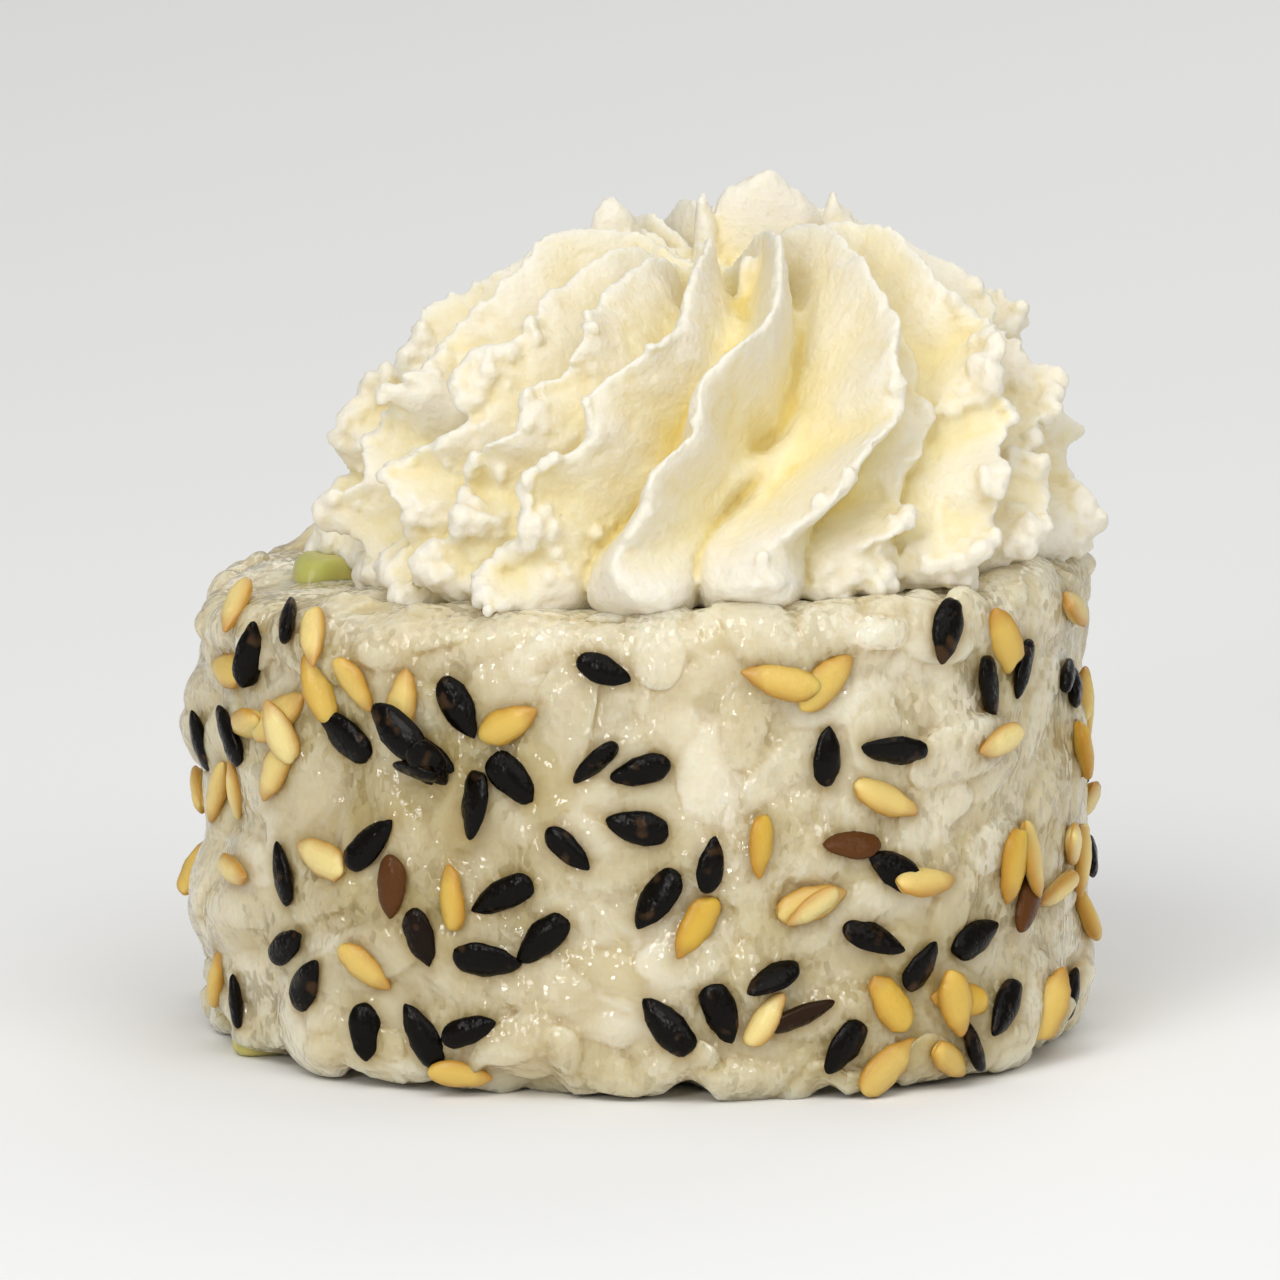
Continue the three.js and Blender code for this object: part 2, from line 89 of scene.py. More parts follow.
def make_piece(name, points, faces):
    """A mesh object from points in millimetres."""
    mesh = bpy.data.meshes.new(name)
    mesh.from_pydata((np.asarray(points) * MM).tolist(), [], faces)
    piece = bpy.data.objects.new(name, mesh)
    bpy.context.collection.objects.link(piece)
    return piece


sample = random_stream(1)
print("random numbers from seed 1:", [round(next(sample), 3) for _ in range(3)])

# %% [markdown]
# ## The drum of rice
#
# The roll is a drum: its side was pressed by a bamboo mat, so from above it is a slightly squared
# round, and the knife left its two cut faces flat but not quite parallel. One function gives the
# drum's surface, so that grains and seeds can be laid on it by how far round and how far up they
# are. It repeats the sizes and the rule that the solids were built with.

# %% Sizes of the roll
ROLL_RADIUS = 21.8
ROLL_HEIGHT = 23.1
TOP_SLOPE_X = 0.045
TOP_SLOPE_Y = -0.03
EDGE_RADIUS = 1.9
EDGE_ARC = EDGE_RADIUS * math.pi / 2
SIDE_BULGE = 0.35
SQUARENESS = 0.018
LOPSIDEDNESS = 0.014
CORNER_ANGLE = math.radians(-46)
TURN = 2 * math.pi * ROLL_RADIUS  # once round the roll


def outline_radius(angle):
    """The roll's radius in a direction, seen from above."""
    from_corner = angle - CORNER_ANGLE
    squared = SQUARENESS * np.cos(4 * from_corner)
    lopsided = LOPSIDEDNESS * np.cos(3 * from_corner)
    return ROLL_RADIUS * (1 + squared + lopsided)


def top_height(x, y):
    """The height of the upper cut over a point of the base."""
    return ROLL_HEIGHT + TOP_SLOPE_X * x + TOP_SLOPE_Y * y


def side_length(angle):
    """How long the straight part of the side is in a direction."""
    inner = outline_radius(angle) - EDGE_RADIUS
    return top_height(inner * np.cos(angle), inner * np.sin(angle)) - 2 * EDGE_RADIUS


def drum_point(angle, along):
    """The point and the outward normal at an angle and a way up from where the base ends."""
    inner = outline_radius(angle) - EDGE_RADIUS
    side = side_length(angle)
    on_side = np.clip(along - EDGE_ARC, 0, side)
    upper = max(along - EDGE_ARC - side, 0)
    lower = max(EDGE_ARC - along, 0)
    tilt = (min(upper, EDGE_ARC) - min(lower, EDGE_ARC)) / EDGE_RADIUS
    over_top = max(upper - EDGE_ARC, 0) + max(lower - EDGE_ARC, 0)
    rho = inner + EDGE_RADIUS * math.cos(tilt) - over_top
    rho += SIDE_BULGE * math.sin(math.pi * on_side / side)
    z = on_side + EDGE_RADIUS * (1 + math.sin(tilt))
    outward = Vector((math.cos(angle), math.sin(angle), 0))
    point = outward * rho + Vector((0, 0, z))
    if upper > EDGE_ARC:
        point.z = top_height(point.x, point.y)
    normal = outward * math.cos(tilt) + Vector((0, 0, math.sin(tilt)))
    return point, normal


def surface_matrix(point, normal, turn):
    """Axes on the surface: X along it, turned from level, and Z out of it."""
    level = Vector((0, 0, 1)).cross(normal).normalized()
    if level.length < 0.5:
        level = Vector((1, 0, 0))
    axes = Matrix((level, normal.cross(level), normal)).transposed().to_4x4()
    return Matrix.Translation(point) @ axes @ Matrix.Rotation(turn, 4, "Z")


print("once round the roll:", round(TURN, 1), "mm")

# %% [markdown]
# ## Rice, grain by grain
#
# Cooked sushi rice is short and plump, about 6 mm by 3 mm, and a little flattened by the mat. A
# bump map can't give the ragged rim and the lit edges of separate grains, and a thousand separate
# objects would be hard to handle. So each grain is laid on the drum as a small closed shape, a
# core fills the middle, and all of it is melted into one skin.

# %% Closed skins from rings of points
def skin_faces(rings, count):
    """The faces of a closed skin: a pole, rings of count points each, and another pole."""
    j = np.arange(count)
    following = (j + 1) % count
    lower = 1 + np.arange(rings - 1)[:, None] * count
    upper = lower + count
    quads = np.stack([lower + j, lower + following, upper + following, upper + j], -1)
    last = 1 + (rings - 1) * count
    bottom = np.stack([np.zeros_like(j), 1 + following, 1 + j], -1)
    top = np.stack([last + j, last + following, np.full_like(j, last + count)], -1)
    return bottom.tolist() + quads.reshape(-1, 4).tolist() + top.tolist()


def turns(count):
    """The angles of count even steps, once round."""
    return 2 * math.pi * np.arange(count) / count


def middles(count):
    """The middles of count even steps from 0 to 1."""
    return (np.arange(count) + 0.5) / count


def power(values, exponent):
    """A power that keeps the sign. Under 1 it makes a round section fuller, over 1 leaner."""
    return np.sign(values) * np.abs(values) ** exponent


def closed_along_x(x, y, z, length):
    """The points of a closed shape along X: a pole, its rings, and the other pole."""
    rings = np.stack([x.ravel(), y.ravel(), z.ravel()], -1)
    return np.vstack([[(-0.5 * length, 0, 0)], rings, [(0.5 * length, 0, 0)]])


print("2 rings of 3 points and 2 poles make", len(skin_faces(2, 3)), "faces")

# %% One grain
GRAIN_LENGTH = 6.4
GRAIN_WIDTH = 2.9
GRAIN_THICKNESS = 1.9
GRAIN_BLUNTNESS = 2.6
GRAIN_BEND = 0.12  # of its width
GRAIN_RINGS = 10
GRAIN_SIDES = 14


def grain_shape():
    """A plump spindle along X, blunt at both ends, a little bent and pressed flat."""
    x = -0.5 * np.cos(math.pi * middles(GRAIN_RINGS))
    radius = 0.5 * (1 - np.abs(2 * x) ** GRAIN_BLUNTNESS) ** 0.5
    bend = GRAIN_BEND * (1 - (2 * x) ** 2)
    around = turns(GRAIN_SIDES)
    y = np.outer(radius, power(np.cos(around), 0.75)) + bend[:, None]
    z = np.outer(radius, power(np.sin(around), 0.75))
    x = np.repeat(x, GRAIN_SIDES)
    return closed_along_x(x * GRAIN_LENGTH, y * GRAIN_WIDTH, z * GRAIN_THICKNESS, GRAIN_LENGTH)


GRAIN = grain_shape()
GRAIN_FACES = skin_faces(GRAIN_RINGS, GRAIN_SIDES)
print("a grain has", len(GRAIN), "points")

# %% [markdown]
# ## Laying the grains
#
# The mat lays the outer grains flat on the side, in no order. A jittered grid on the unrolled
# side spreads them without gaps or heaps, and each is turned at random. The cut faces get grains
# of their own, lower, because the knife sliced them level. A second, deeper layer closes the
# holes between.

# %% Where the grains lie
ALONG_STEP = 0.72 * GRAIN_LENGTH
ROW_STEP = 0.82 * GRAIN_WIDTH
FACE_STEP = 3.6
FACE_MARGIN = 3.2  # kept free round a cut face, where the side's grains turn over the edge
PROUD_SPREAD = 0.45  # millimetres between the grains that stand out most and least
LAYER_STEP = 0.8  # from the outer grains down to the second layer
GRAIN_TILT = 0.3


def side_grains():
    """Grains on the side and its edges: angle, way up, turn and how far each stands out."""
    stream = random_stream(7)
    per_row = round(TURN / ALONG_STEP)
    rows = math.ceil((ROLL_HEIGHT + 4 * EDGE_RADIUS) / ROW_STEP)
    for row in range(rows):
        for k in range(per_row):
            across = (k + (row % 2) / 2 + 0.5 * next(stream)) / per_row * TURN
            along = (row - 1 + 0.7 * next(stream)) * ROW_STEP
            yield across / ROLL_RADIUS, along, math.pi * next(stream), next(stream)


def face_grains(seed):
    """Grains over a cut face: x, y, turn and how far each stands out."""
    stream = random_stream(seed)
    cells = math.ceil(ROLL_RADIUS / FACE_STEP)
    for i in range(-cells, cells + 1):
        for k in range(-cells, cells + 1):
            x = (i + (k % 2) / 2 + 0.6 * next(stream)) * FACE_STEP
            y = (k + 0.6 * next(stream)) * FACE_STEP
            turn = math.pi * next(stream)
            proud = next(stream)
            if math.hypot(x, y) < ROLL_RADIUS - FACE_MARGIN:
                yield x, y, turn, proud


def lay_rice():
    """Every grain's matrix. The pressed ones end at the drum's surface, others just under it."""
    matrices = []
    tilts = random_stream(11)
    half = 0.5 * GRAIN_THICKNESS
    up = Vector((0, 0, 1))

    def tilted(seat):
        return seat @ Matrix.Rotation(GRAIN_TILT * (next(tilts) - 0.5), 4, "Y")

    for angle, along, turn, proud in side_grains():
        point, normal = drum_point(angle, along)
        depth = half - 0.1 + PROUD_SPREAD * (1 - proud) ** 1.4
        if proud > 0.93:
            depth -= 0.5
        matrices.append(tilted(surface_matrix(point - normal * depth, normal, turn)))
        matrices.append(surface_matrix(point - normal * (depth + LAYER_STEP), normal, turn + 1.3))
    for x, y, turn, proud in face_grains(13):
        centre = Vector((x, y, top_height(x, y) - (half + 0.6 * (1 - proud))))
        matrices.append(tilted(surface_matrix(centre, up, turn)))
    for x, y, turn, proud in face_grains(17):
        centre = Vector((x, y, half - 0.15 + 0.5 * (1 - proud)))
        matrices.append(surface_matrix(centre, up, turn))
    return matrices


grain_matrices = lay_rice()
print(len(grain_matrices), "grains of rice")

# %% [markdown]
# ## Melting shapes together
#
# Sticky rice and soft cheese have no sharp joins: where two lumps touch, they run into one
# another. Boolean unions of a thousand grains would be slow and brittle. A voxel remesh does what
# the food does. It fills a fine grid with the shape and wraps one new closed skin round all of
# it. The skin is then thinned out where it is flattest, and scraps that came loose are taken
# away.

# %% Melt, thin out and keep the largest skin
def triangles(piece):
    return sum(len(face.vertices) - 2 for face in piece.data.polygons)


def keep_modified(piece):
    """Makes what the modifiers show into the piece's own mesh."""
    modified = piece.evaluated_get(bpy.context.evaluated_depsgraph_get())
    made = bpy.data.meshes.new_from_object(modified)
    before = piece.data
    piece.modifiers.clear()
    piece.data = made
    bpy.data.meshes.remove(before)
    made.shade_smooth()


def drop_scraps(piece):
    """Keeps the largest closed skin and takes away the scraps that melting left beside it."""
    mesh = bmesh.new()
    mesh.from_mesh(piece.data)
    left = set(mesh.verts)
    islands = []
    while left:
        waiting = [left.pop()]
        island = []
        while waiting:
            corner = waiting.pop()
            island.append(corner)
            beside = {edge.other_vert(corner) for edge in corner.link_edges} & left
            left -= beside
            waiting.extend(beside)
        islands.append(island)
    islands.sort(key=len)
    scraps = [corner for island in islands[:-1] for corner in island]
    bmesh.ops.delete(mesh, geom=scraps, context="VERTS")
    mesh.to_mesh(piece.data)
    mesh.free()
    print(piece.name, "had", len(islands) - 1, "scraps")


def melt_together(piece, voxel, most):
    """Wraps one closed skin round all of a piece, with at most so many triangles."""
    remesh = piece.modifiers.new("melt", "REMESH")
    remesh.mode = "VOXEL"
    remesh.voxel_size = voxel * MM
    smooth = piece.modifiers.new("smooth", "SMOOTH")
    smooth.factor = 0.5
    smooth.iterations = 1
    keep_modified(piece)
    share = most / triangles(piece)
    if share < 1:
        piece.modifiers.new("thin", "DECIMATE").ratio = share
        keep_modified(piece)
    drop_scraps(piece)
    print(piece.name, "has", triangles(piece), "triangles")

# %% The core and the grains, melted together
CORE_DEPTH = 0.75  # of the core's surface under the drum's
CORE_LEVELS = (-0.1, 0, 0.1, 0.3, 0.5, 0.7, 0.9, 1, 1.1)
CORE_COLUMNS = 72
RICE_VOXEL = 0.21
RICE_TRIANGLES = 190000


def core_points():
    """The drum's own surface, drawn in by CORE_DEPTH, from the base up."""
    points = [Vector((0, 0, CORE_DEPTH))]
    for along_share in CORE_LEVELS:
        for j in range(CORE_COLUMNS):
            angle = 2 * math.pi * j / CORE_COLUMNS
            length = side_length(angle) + 2 * EDGE_ARC
            point, normal = drum_point(angle, along_share * length)
            points.append(point - normal * CORE_DEPTH)
    return [*points, Vector((0, 0, ROLL_HEIGHT - CORE_DEPTH))]


def rice_mesh():
    points = core_points()
    faces = skin_faces(len(CORE_LEVELS), CORE_COLUMNS)
    for matrix in grain_matrices:
        start = len(points)
        size = 0.9 + 0.2 * math.sin(7.1 * start)
        points.extend(matrix @ (Vector(p) * size) for p in GRAIN)
        faces.extend([start + corner for corner in face] for face in GRAIN_FACES)
    return make_piece("sticky_rice", [tuple(p) for p in points], faces)


rice = rice_mesh()
melt_together(rice, RICE_VOXEL, RICE_TRIANGLES)

# %% [markdown]
# ## What the pressed surface shows
#
# A new drum of grains is too even. The mat pressed the outermost grains flat, more in some places
# than in others, the soft roll has sagged, and the knife has left its lower edge ragged. All of
# that is done point by point, by how deep a point lies under the drum's own surface. The material
# also has to know which grain a point belongs to, since every grain is a little clearer or whiter
# than the next, how deep in a crevice the point lies, for a painted shade there, how far it stands
# out between crevices, for a painted highlight, and where the rice is clear as glass.

# %% A skin's points, and soft random lumps
def read_vectors(piece, kind):
    flat = np.empty(len(piece.data.vertices) * 3)
    piece.data.vertices.foreach_get(kind, flat)
    return flat.reshape(-1, 3)


def read_points(piece):
    """All the points of a piece, in millimetres."""
    return read_vectors(piece, "co") / MM


def write_points(piece, points):
    piece.data.vertices.foreach_set("co", (points * MM).ravel())
    piece.data.update()


def paint_points(piece, name, values):
    """Stores one number for each point, for a material to read."""
    layer = piece.data.attributes.new(name, "FLOAT", "POINT")
    layer.data.foreach_set("value", np.asarray(values, dtype=np.float32))


def lumps(points, size, seed=0.0):
    """Soft random lumps of about a size in millimetres, from -1 to 1, one value for each point."""
    return np.array([noise.noise(Vector(p)) for p in points / size + seed])


print("the rice's skin has", len(read_points(rice)), "points")

# %% Find the hollows of a skin
GRAIN_ROUNDS = 16  # of smoothing, enough to level out single grains


def hollows(piece, rounds):
    """How far each point lies under a smoother copy of the skin, in millimetres."""
    points = read_points(piece)
    corners = np.empty(len(piece.data.edges) * 2, dtype=np.int32)
    piece.data.edges.foreach_get("vertices", corners)
    a, b = corners.reshape(-1, 2).T
    count = len(points)
    neighbours = (np.bincount(a, minlength=count) + np.bincount(b, minlength=count))[:, None]
    smooth = points
    for _ in range(rounds):
        sums = [
            np.bincount(a, smooth[b, k], count) + np.bincount(b, smooth[a, k], count)
            for k in range(3)
        ]
        smooth = 0.4 * smooth + 0.6 * np.stack(sums, -1) / neighbours
    return np.einsum("ij,ij->i", smooth - points, read_vectors(piece, "normal"))


deepest = hollows(rice, GRAIN_ROUNDS).max()
print("the deepest hollow between grains:", round(float(deepest), 2), "mm")

# %% How deep a point lies under the pressed surface
def drum_depth(points):
    """Millimetres under the drum's surface, less than 0 outside it, and the direction out."""
    angles = np.arctan2(points[:, 1], points[:, 0])
    inward = outline_radius(angles) + 0.7 * SIDE_BULGE - np.hypot(points[:, 0], points[:, 1])
    under_top = top_height(points[:, 0], points[:, 1]) - points[:, 2]
    downward = np.minimum(under_top, points[:, 2])
    aside = np.maximum(EDGE_RADIUS - inward, 0) + np.where(inward < downward, 1e-6, 0)
    along = np.maximum(EDGE_RADIUS - downward, 0) + np.where(inward < downward, 0, 1e-6)
    length = np.hypot(aside, along)
    depth = np.where(length > 0.001, EDGE_RADIUS - length, np.minimum(inward, downward))
    upward = np.where(under_top < points[:, 2], along, -along) / length
    out = np.stack([np.cos(angles) * aside / length, np.sin(angles) * aside / length, upward], -1)
    return depth, out


proud = -drum_depth(read_points(rice))[0].min()
print("the outermost grain stands", round(float(proud), 2), "mm out of the drum")

# %% Which grain a point belongs to
GRAINS_NEAR = 8
SEAM_WIDTH = 0.1  # of half a grain


def point_tree(points):
    """A tree that finds the nearest of some points quickly."""
    tree = KDTree(len(points))
    for index, point in enumerate(points):
        tree.insert(point, index)
    tree.balance()
    return tree


def nearest_grains(points):
    """The grain that each point belongs to, and 1 on the seam to the next grain, 0 away from it."""
    tree = point_tree([matrix.translation for matrix in grain_matrices])
    near = np.array([[found[1] for found in tree.find_n(Vector(p), GRAINS_NEAR)] for p in points])
    inverse = np.array([np.array(matrix.inverted())[:3] for matrix in grain_matrices])[near]
    local = np.einsum("nkij,nj->nki", inverse[..., :3], points) + inverse[..., 3]
    local /= (GRAIN_LENGTH / 2, GRAIN_WIDTH / 2, GRAIN_THICKNESS / 2)
    apart = np.linalg.norm(local, axis=-1)
    order = np.argsort(apart, axis=-1)
    first = np.take_along_axis(near, order[:, :1], 1)[:, 0]
    ranked = np.take_along_axis(apart, order[:, :2], 1)
    return first, np.exp(-(((ranked[:, 1] - ranked[:, 0]) / SEAM_WIDTH) ** 2))


print("the first point belongs to grain", nearest_grains(read_points(rice)[:1])[0][0])

# %% Press and roughen the skin, and mark the grains
PRESSED_TO = 0.3  # depth that the mat presses the outermost grains back to
SAG_SIZE = 5.0  # how wide the swellings of the soft roll are
NOTCH_SIZE = 3.6
NOTCH_HEIGHT = 1.8
CREVICE_DEPTH = 0.18  # what counts as a full crevice, or as a full edge


def unsettle(points):
    """Swells and dents the drum, most at its left end, and leaves its lower edge ragged."""
    out = drum_depth(points)[1]
    to_left = np.clip(-points[:, 0] / ROLL_RADIUS, 0, 1)
    points = points + out * (lumps(points, SAG_SIZE, 61.0) * (0.5 + 0.9 * to_left**2))[:, None]
    inward = ROLL_RADIUS - np.hypot(points[:, 0], points[:, 1])
    notch = np.clip(4.5 * lumps(points * (1, 1, 0), NOTCH_SIZE, 67.0) - 0.5, 0, 1.6)
    notch *= np.clip(1.2 - inward / 4, 0, 1)
    points[:, 2] += notch * np.exp(-np.maximum(points[:, 2], 0) / NOTCH_HEIGHT)
    return points


def press_rice():
    """Presses the outermost grains flatter, more in some places than others, and roughens all."""
    points = read_points(rice)
    seam = nearest_grains(points)[1]
    depth, out = drum_depth(points)
    mat = np.clip(0.7 + 0.6 * lumps(points, 9.0, 41.0), 0.3, 0.92)
    points -= out * (mat * np.maximum(PRESSED_TO - depth, 0))[:, None]
    points += out * (0.65 * np.clip(depth - 0.4, 0, 1))[:, None]
    uneven = 0.05 * lumps(points, 1.1) + 0.035 * lumps(points, 0.5, 5.0) - 0.08 * seam
    points = unsettle(points + out * uneven[:, None])
    points[:, 2] = np.maximum(points[:, 2], 0)
    write_points(rice, points)


# Where the rice is clear and lets the light in: angle from the front, height, reach, strength.
CLEAR_PATCHES = [
    (-30, 12, 8.5, 0.8),
    (-12, 3, 5, 0.3),
    (38, 4, 6, 0.6),
    (150, 8, 8, 0.6),
    (235, 15, 7, 0.6),
]


def clearness(points):
    """How clear the rice is at each point, from 0 to 1."""
    azimuth = np.arctan2(points[:, 1], points[:, 0]) + math.pi / 2
    clear = np.zeros(len(points))
    for angle, height, reach, strength in CLEAR_PATCHES:
        aside = ROLL_RADIUS * np.angle(np.exp(1j * (azimuth - math.radians(angle))))
        away = np.hypot(aside, points[:, 2] - height)
        clear = np.maximum(clear, strength * np.exp(-((away / reach) ** 2)))
    return np.clip(clear * (1 + 0.8 * lumps(points, 2.5, 79.0)), 0, 1)


def mark_grains():
    """Stores each grain's tone, the seams, how clear a point is, and how deep, for painted shade
    and highlight.
    """
    points = read_points(rice)
    clear = clearness(points)
    paint_points(rice, "clear", clear)
    grain, seam = nearest_grains(points)
    tones = random_stream(19)
    tone_of = np.array([next(tones) for _ in grain_matrices])
    paint_points(rice, "grain_tone", tone_of[grain])
    paint_points(rice, "seam", seam)
    # Points sunk in a crevice get a painted shade in the material, points standing out a painted
    # highlight.
    sunk = hollows(rice, GRAIN_ROUNDS) / CREVICE_DEPTH
    paint_points(rice, "crevice_shade", np.clip(sunk, 0, 1))
    paint_points(rice, "edge", np.clip(-sunk, 0, 1))
    print("share of the rice that is clear:", round(float(clear.mean()), 2))


press_rice()
mark_grains()
rice_surface = BVHTree.FromObject(rice, bpy.context.evaluated_depsgraph_get())

# %% [markdown]
# ## Sesame
#
# A sesame seed is a flat teardrop, 3.4 mm long: blunt at one end, pointed at the other, with a
# rim round its edge. Black and golden seeds were strewn on the rice before it was cut, and they
# stuck in patches. Every seed here is laid by those patches, then let down onto what is really
# under it, rice or another seed: short rays find the surface at its two ends and its two sides,
# and the seed takes their slope. Last, the rice close to the seeds is darkened, with a painted
# contact shade under them and a stain where their oil has soaked in.

# %% Where the seeds lie
SEED_LENGTH = 3.4
SEED_WIDTH = 1.85
SEED_THICKNESS = 1.0
SEED_CROWD = 2.1  # how near the middles of two seeds may come
SEED_TRIES = 12

# Angle from the front in degrees, height, spread, and how many black and golden seeds.
SEED_GROUPS = [
    (-68, 3.2, 1.4, 1, 1),
    (-65, 17.7, 1.3, 1, 1),
    (-64, 11.8, 2.9, 0, 3),
    (-61, 21.2, 1.8, 1, 1),
    (-52, 17.2, 2.1, 0, 4),
    (-47, 21.5, 2.1, 1, 1),
    (-47, 10.0, 1.1, 1, 1),
    (-46, 5.6, 1.7, 2, 0),
    (-39, 18.2, 2.2, 1, 3),
    (-35, 10.2, 2.0, 3, 0),
    (-30, 3.9, 2.3, 3, 2),
    (-27, 17.7, 2.1, 6, 0),
    (-21, 8.9, 2.4, 3, 1),
    (-19, 15.4, 1.2, 2, 0),
    (-10, 19.6, 2.2, 1, 1),
    (-5, 15.0, 3.2, 4, 0),
    (5, 3.9, 1.7, 2, 0),
    (6, 9.7, 2.5, 2, 2),
    (17, 5.3, 1.5, 2, 1),
    (17, 21.8, 2.4, 0, 2),
    (19, 8.1, 1.2, 0, 2),
    (25, 15.0, 2.2, 3, 1),
    (26, 2.6, 1.6, 1, 2),
    (30, 9.3, 1.4, 2, 0),
    (35, 10.2, 0.6, 0, 1),
    (39, 5.7, 1.9, 2, 1),
    (46, 2.8, 1.9, 2, 2),
    (48, 19.6, 2.8, 3, 2),
    (53, 9.3, 1.4, 1, 2),
    (65, 8.3, 3.0, 0, 2),
    (67, 2.4, 2.6, 1, 2),
    (68, 18.4, 2.8, 2, 2),
    (92, 12.0, 9.0, 4, 7),
    (122, 7.0, 7.0, 6, 2),
    (138, 16.0, 7.0, 2, 5),
    (165, 11.0, 9.0, 6, 3),
    (195, 6.0, 7.0, 3, 4),
    (205, 17.0, 7.0, 5, 2),
    (232, 11.0, 8.0, 3, 6),
    (262, 8.0, 8.0, 4, 4),
]


def scatter_seeds():
    """Every seed: angle, height, turn, tip, size, and whether it is golden."""
    stream = random_stream(41)

    def offset(spread):
        return (next(stream) + next(stream) - 1) * 1.5 * spread

    seeds = []
    for azimuth, height, spread, black, golden in SEED_GROUPS:
        for k in range(black + golden):
            turn = 2 * math.pi * next(stream)
            reach = 0.5 * SEED_LENGTH * abs(math.sin(turn))
            for _ in range(SEED_TRIES):
                angle = math.radians(azimuth - 90) + offset(spread) / ROLL_RADIUS
                at = min(max(height + offset(spread), reach + 0.5), ROLL_HEIGHT - 0.9)
                distances = [math.hypot((s[0] - angle) * ROLL_RADIUS, s[1] - at) for s in seeds]
                if min(distances, default=SEED_CROWD + 1) > SEED_CROWD:
                    break
            tip = 0.5 * (next(stream) - 0.5)
            size = (0.88 if k >= black else 0.78) + 0.24 * next(stream)
            seeds.append((angle, at, turn, tip, size, k >= black))
    return seeds


seeds = scatter_seeds()
print(len(seeds), "seeds,", sum(seed[5] for seed in seeds), "of them golden")

# %% One seed's shape
SEED_RINGS = 14
SEED_SIDES = 16


def seed_shape():
    """A flat teardrop along X, how far along each point is, and how near the rim."""
    share = 0.5 - 0.5 * np.cos(math.pi * middles(SEED_RINGS))
    half_width = 1.20 * share**0.42 * (1 - share) ** 0.66
    around = turns(SEED_SIDES)
    x = np.repeat(share - 0.5, SEED_SIDES) * SEED_LENGTH
    y = np.outer(half_width, np.cos(around)) * SEED_WIDTH * 0.79
    z = np.outer(half_width**0.8, power(np.sin(around), 1.15)) * SEED_THICKNESS * 0.68
    points = closed_along_x(x, y, z, SEED_LENGTH)
    rim = np.concatenate([[1], np.tile(np.abs(np.cos(around)) ** 3, SEED_RINGS), [1]])
    return points, points[:, 0] / SEED_LENGTH + 0.5, rim


SEED, SEED_SHARE, SEED_RIM = seed_shape()
SEED_FACES = skin_faces(SEED_RINGS, SEED_SIDES)
print("a seed has", len(SEED), "points")

# %% Let the seeds down one after the other
RAY_START = 5  # millimetres outside the drum
RAY_LENGTH = 9


class Heap:
    """The seeds laid so far, so that the next one can come to lie on them."""

    def __init__(self):
        self.points = []
        self.faces = []
        self.tree = None

    def add(self, points):
        start = len(self.points)
        self.points.extend(points)
        self.faces.extend([start + corner for corner in face] for face in SEED_FACES)
        self.tree = BVHTree.FromPolygons(self.points, self.faces)

    def touch(self, point, normal):
        """Where a ray from outside first meets the rice or a seed."""
        start = point + normal * RAY_START
        places = []
        on_rice = rice_surface.ray_cast(start * MM, -normal, RAY_LENGTH * MM)[0]
        if on_rice:
            places.append(on_rice / MM)
        if self.tree:
            on_seed = self.tree.ray_cast(start, -normal, RAY_LENGTH)[0]
            if on_seed:
                places.append(on_seed)
        return min(places, key=lambda place: (place - start).length, default=point)


def seat_seed(heap, angle, height, turn):
    """A matrix that lays a seed down, with the slope of what is under it."""
    along = height + EDGE_ARC - EDGE_RADIUS
    point, normal = drum_point(angle, along)
    flat = surface_matrix(point, normal, turn).to_3x3()
    ahead = flat @ Vector((0.36 * SEED_LENGTH, 0, 0))
    aside = flat @ Vector((0, 0.3 * SEED_WIDTH, 0))
    ends = [heap.touch(point + step, normal) for step in (ahead, -ahead)]
    sides = [heap.touch(point + step, normal) for step in (aside, -aside)]
    x_axis = (ends[0] - ends[1]).normalized()
    z_axis = x_axis.cross(sides[0] - sides[1]).normalized()
    z_axis = (z_axis + normal).normalized()
    y_axis = z_axis.cross(x_axis).normalized()
    axes = Matrix((x_axis, y_axis, x_axis.cross(y_axis))).transposed().to_4x4()
    middle = (ends[0] + ends[1] + sides[0] + sides[1]) / 4
    middle += normal * max((heap.touch(point, normal) - middle).dot(normal) - 0.1, 0)
    return Matrix.Translation(middle + z_axis * 0.2 * SEED_THICKNESS) @ axes


def lay_seeds():
    """All seeds' points, with each seed's tone, sorted into black and golden ones."""
    heap = Heap()
    laid = {False: [], True: []}
    moods = random_stream(53)
    for angle, height, turn, tip, size, is_golden in seeds:
        tone, roll, plump = next(moods), next(moods) - 0.5, 0.88 + 0.26 * next(moods)
        seat = seat_seed(heap, angle, height, turn)
        seat = seat @ Matrix.Rotation(0.5 * tip, 4, "Y") @ Matrix.Rotation(8 * roll**3, 4, "X")
        points = [seat @ Vector((p[0] * size, p[1] * size * plump, p[2] * size)) for p in SEED]
        middle = seat.translation
        points = [point + (point - middle) * 0.12 * noise.noise(point * 1.6) for point in points]
        lift = max(-min(point.z for point in points), 0)
        points = [point + Vector((0, 0, lift)) for point in points]
        heap.add(points)
        laid[is_golden].append((points, tone))
    return laid


def seed_piece(name, laid):
    points = [tuple(point) for seed, tone in laid for point in seed]
    starts = range(0, len(points), len(SEED))
    faces = [[start + corner for corner in face] for start in starts for face in SEED_FACES]
    piece = make_piece(name, points, faces)
    piece.data.shade_smooth()
    paint_points(piece, "seed_tone", np.repeat([tone for seed, tone in laid], len(SEED)))
    paint_points(piece, "seed_share", np.tile(SEED_SHARE, len(laid)))
    paint_points(piece, "seed_rim", np.tile(SEED_RIM, len(laid)))
    print(name, len(laid), "seeds,", triangles(piece), "triangles")
    return piece


laid_seeds = lay_seeds()
black_sesame = seed_piece("black_sesame", laid_seeds[False])
golden_sesame = seed_piece("golden_sesame", laid_seeds[True])

# %% Painted shade and oil stain on the rice round the seeds
SHADE_AND_STAIN_REACH = 0.45  # millimetres from a seed's skin


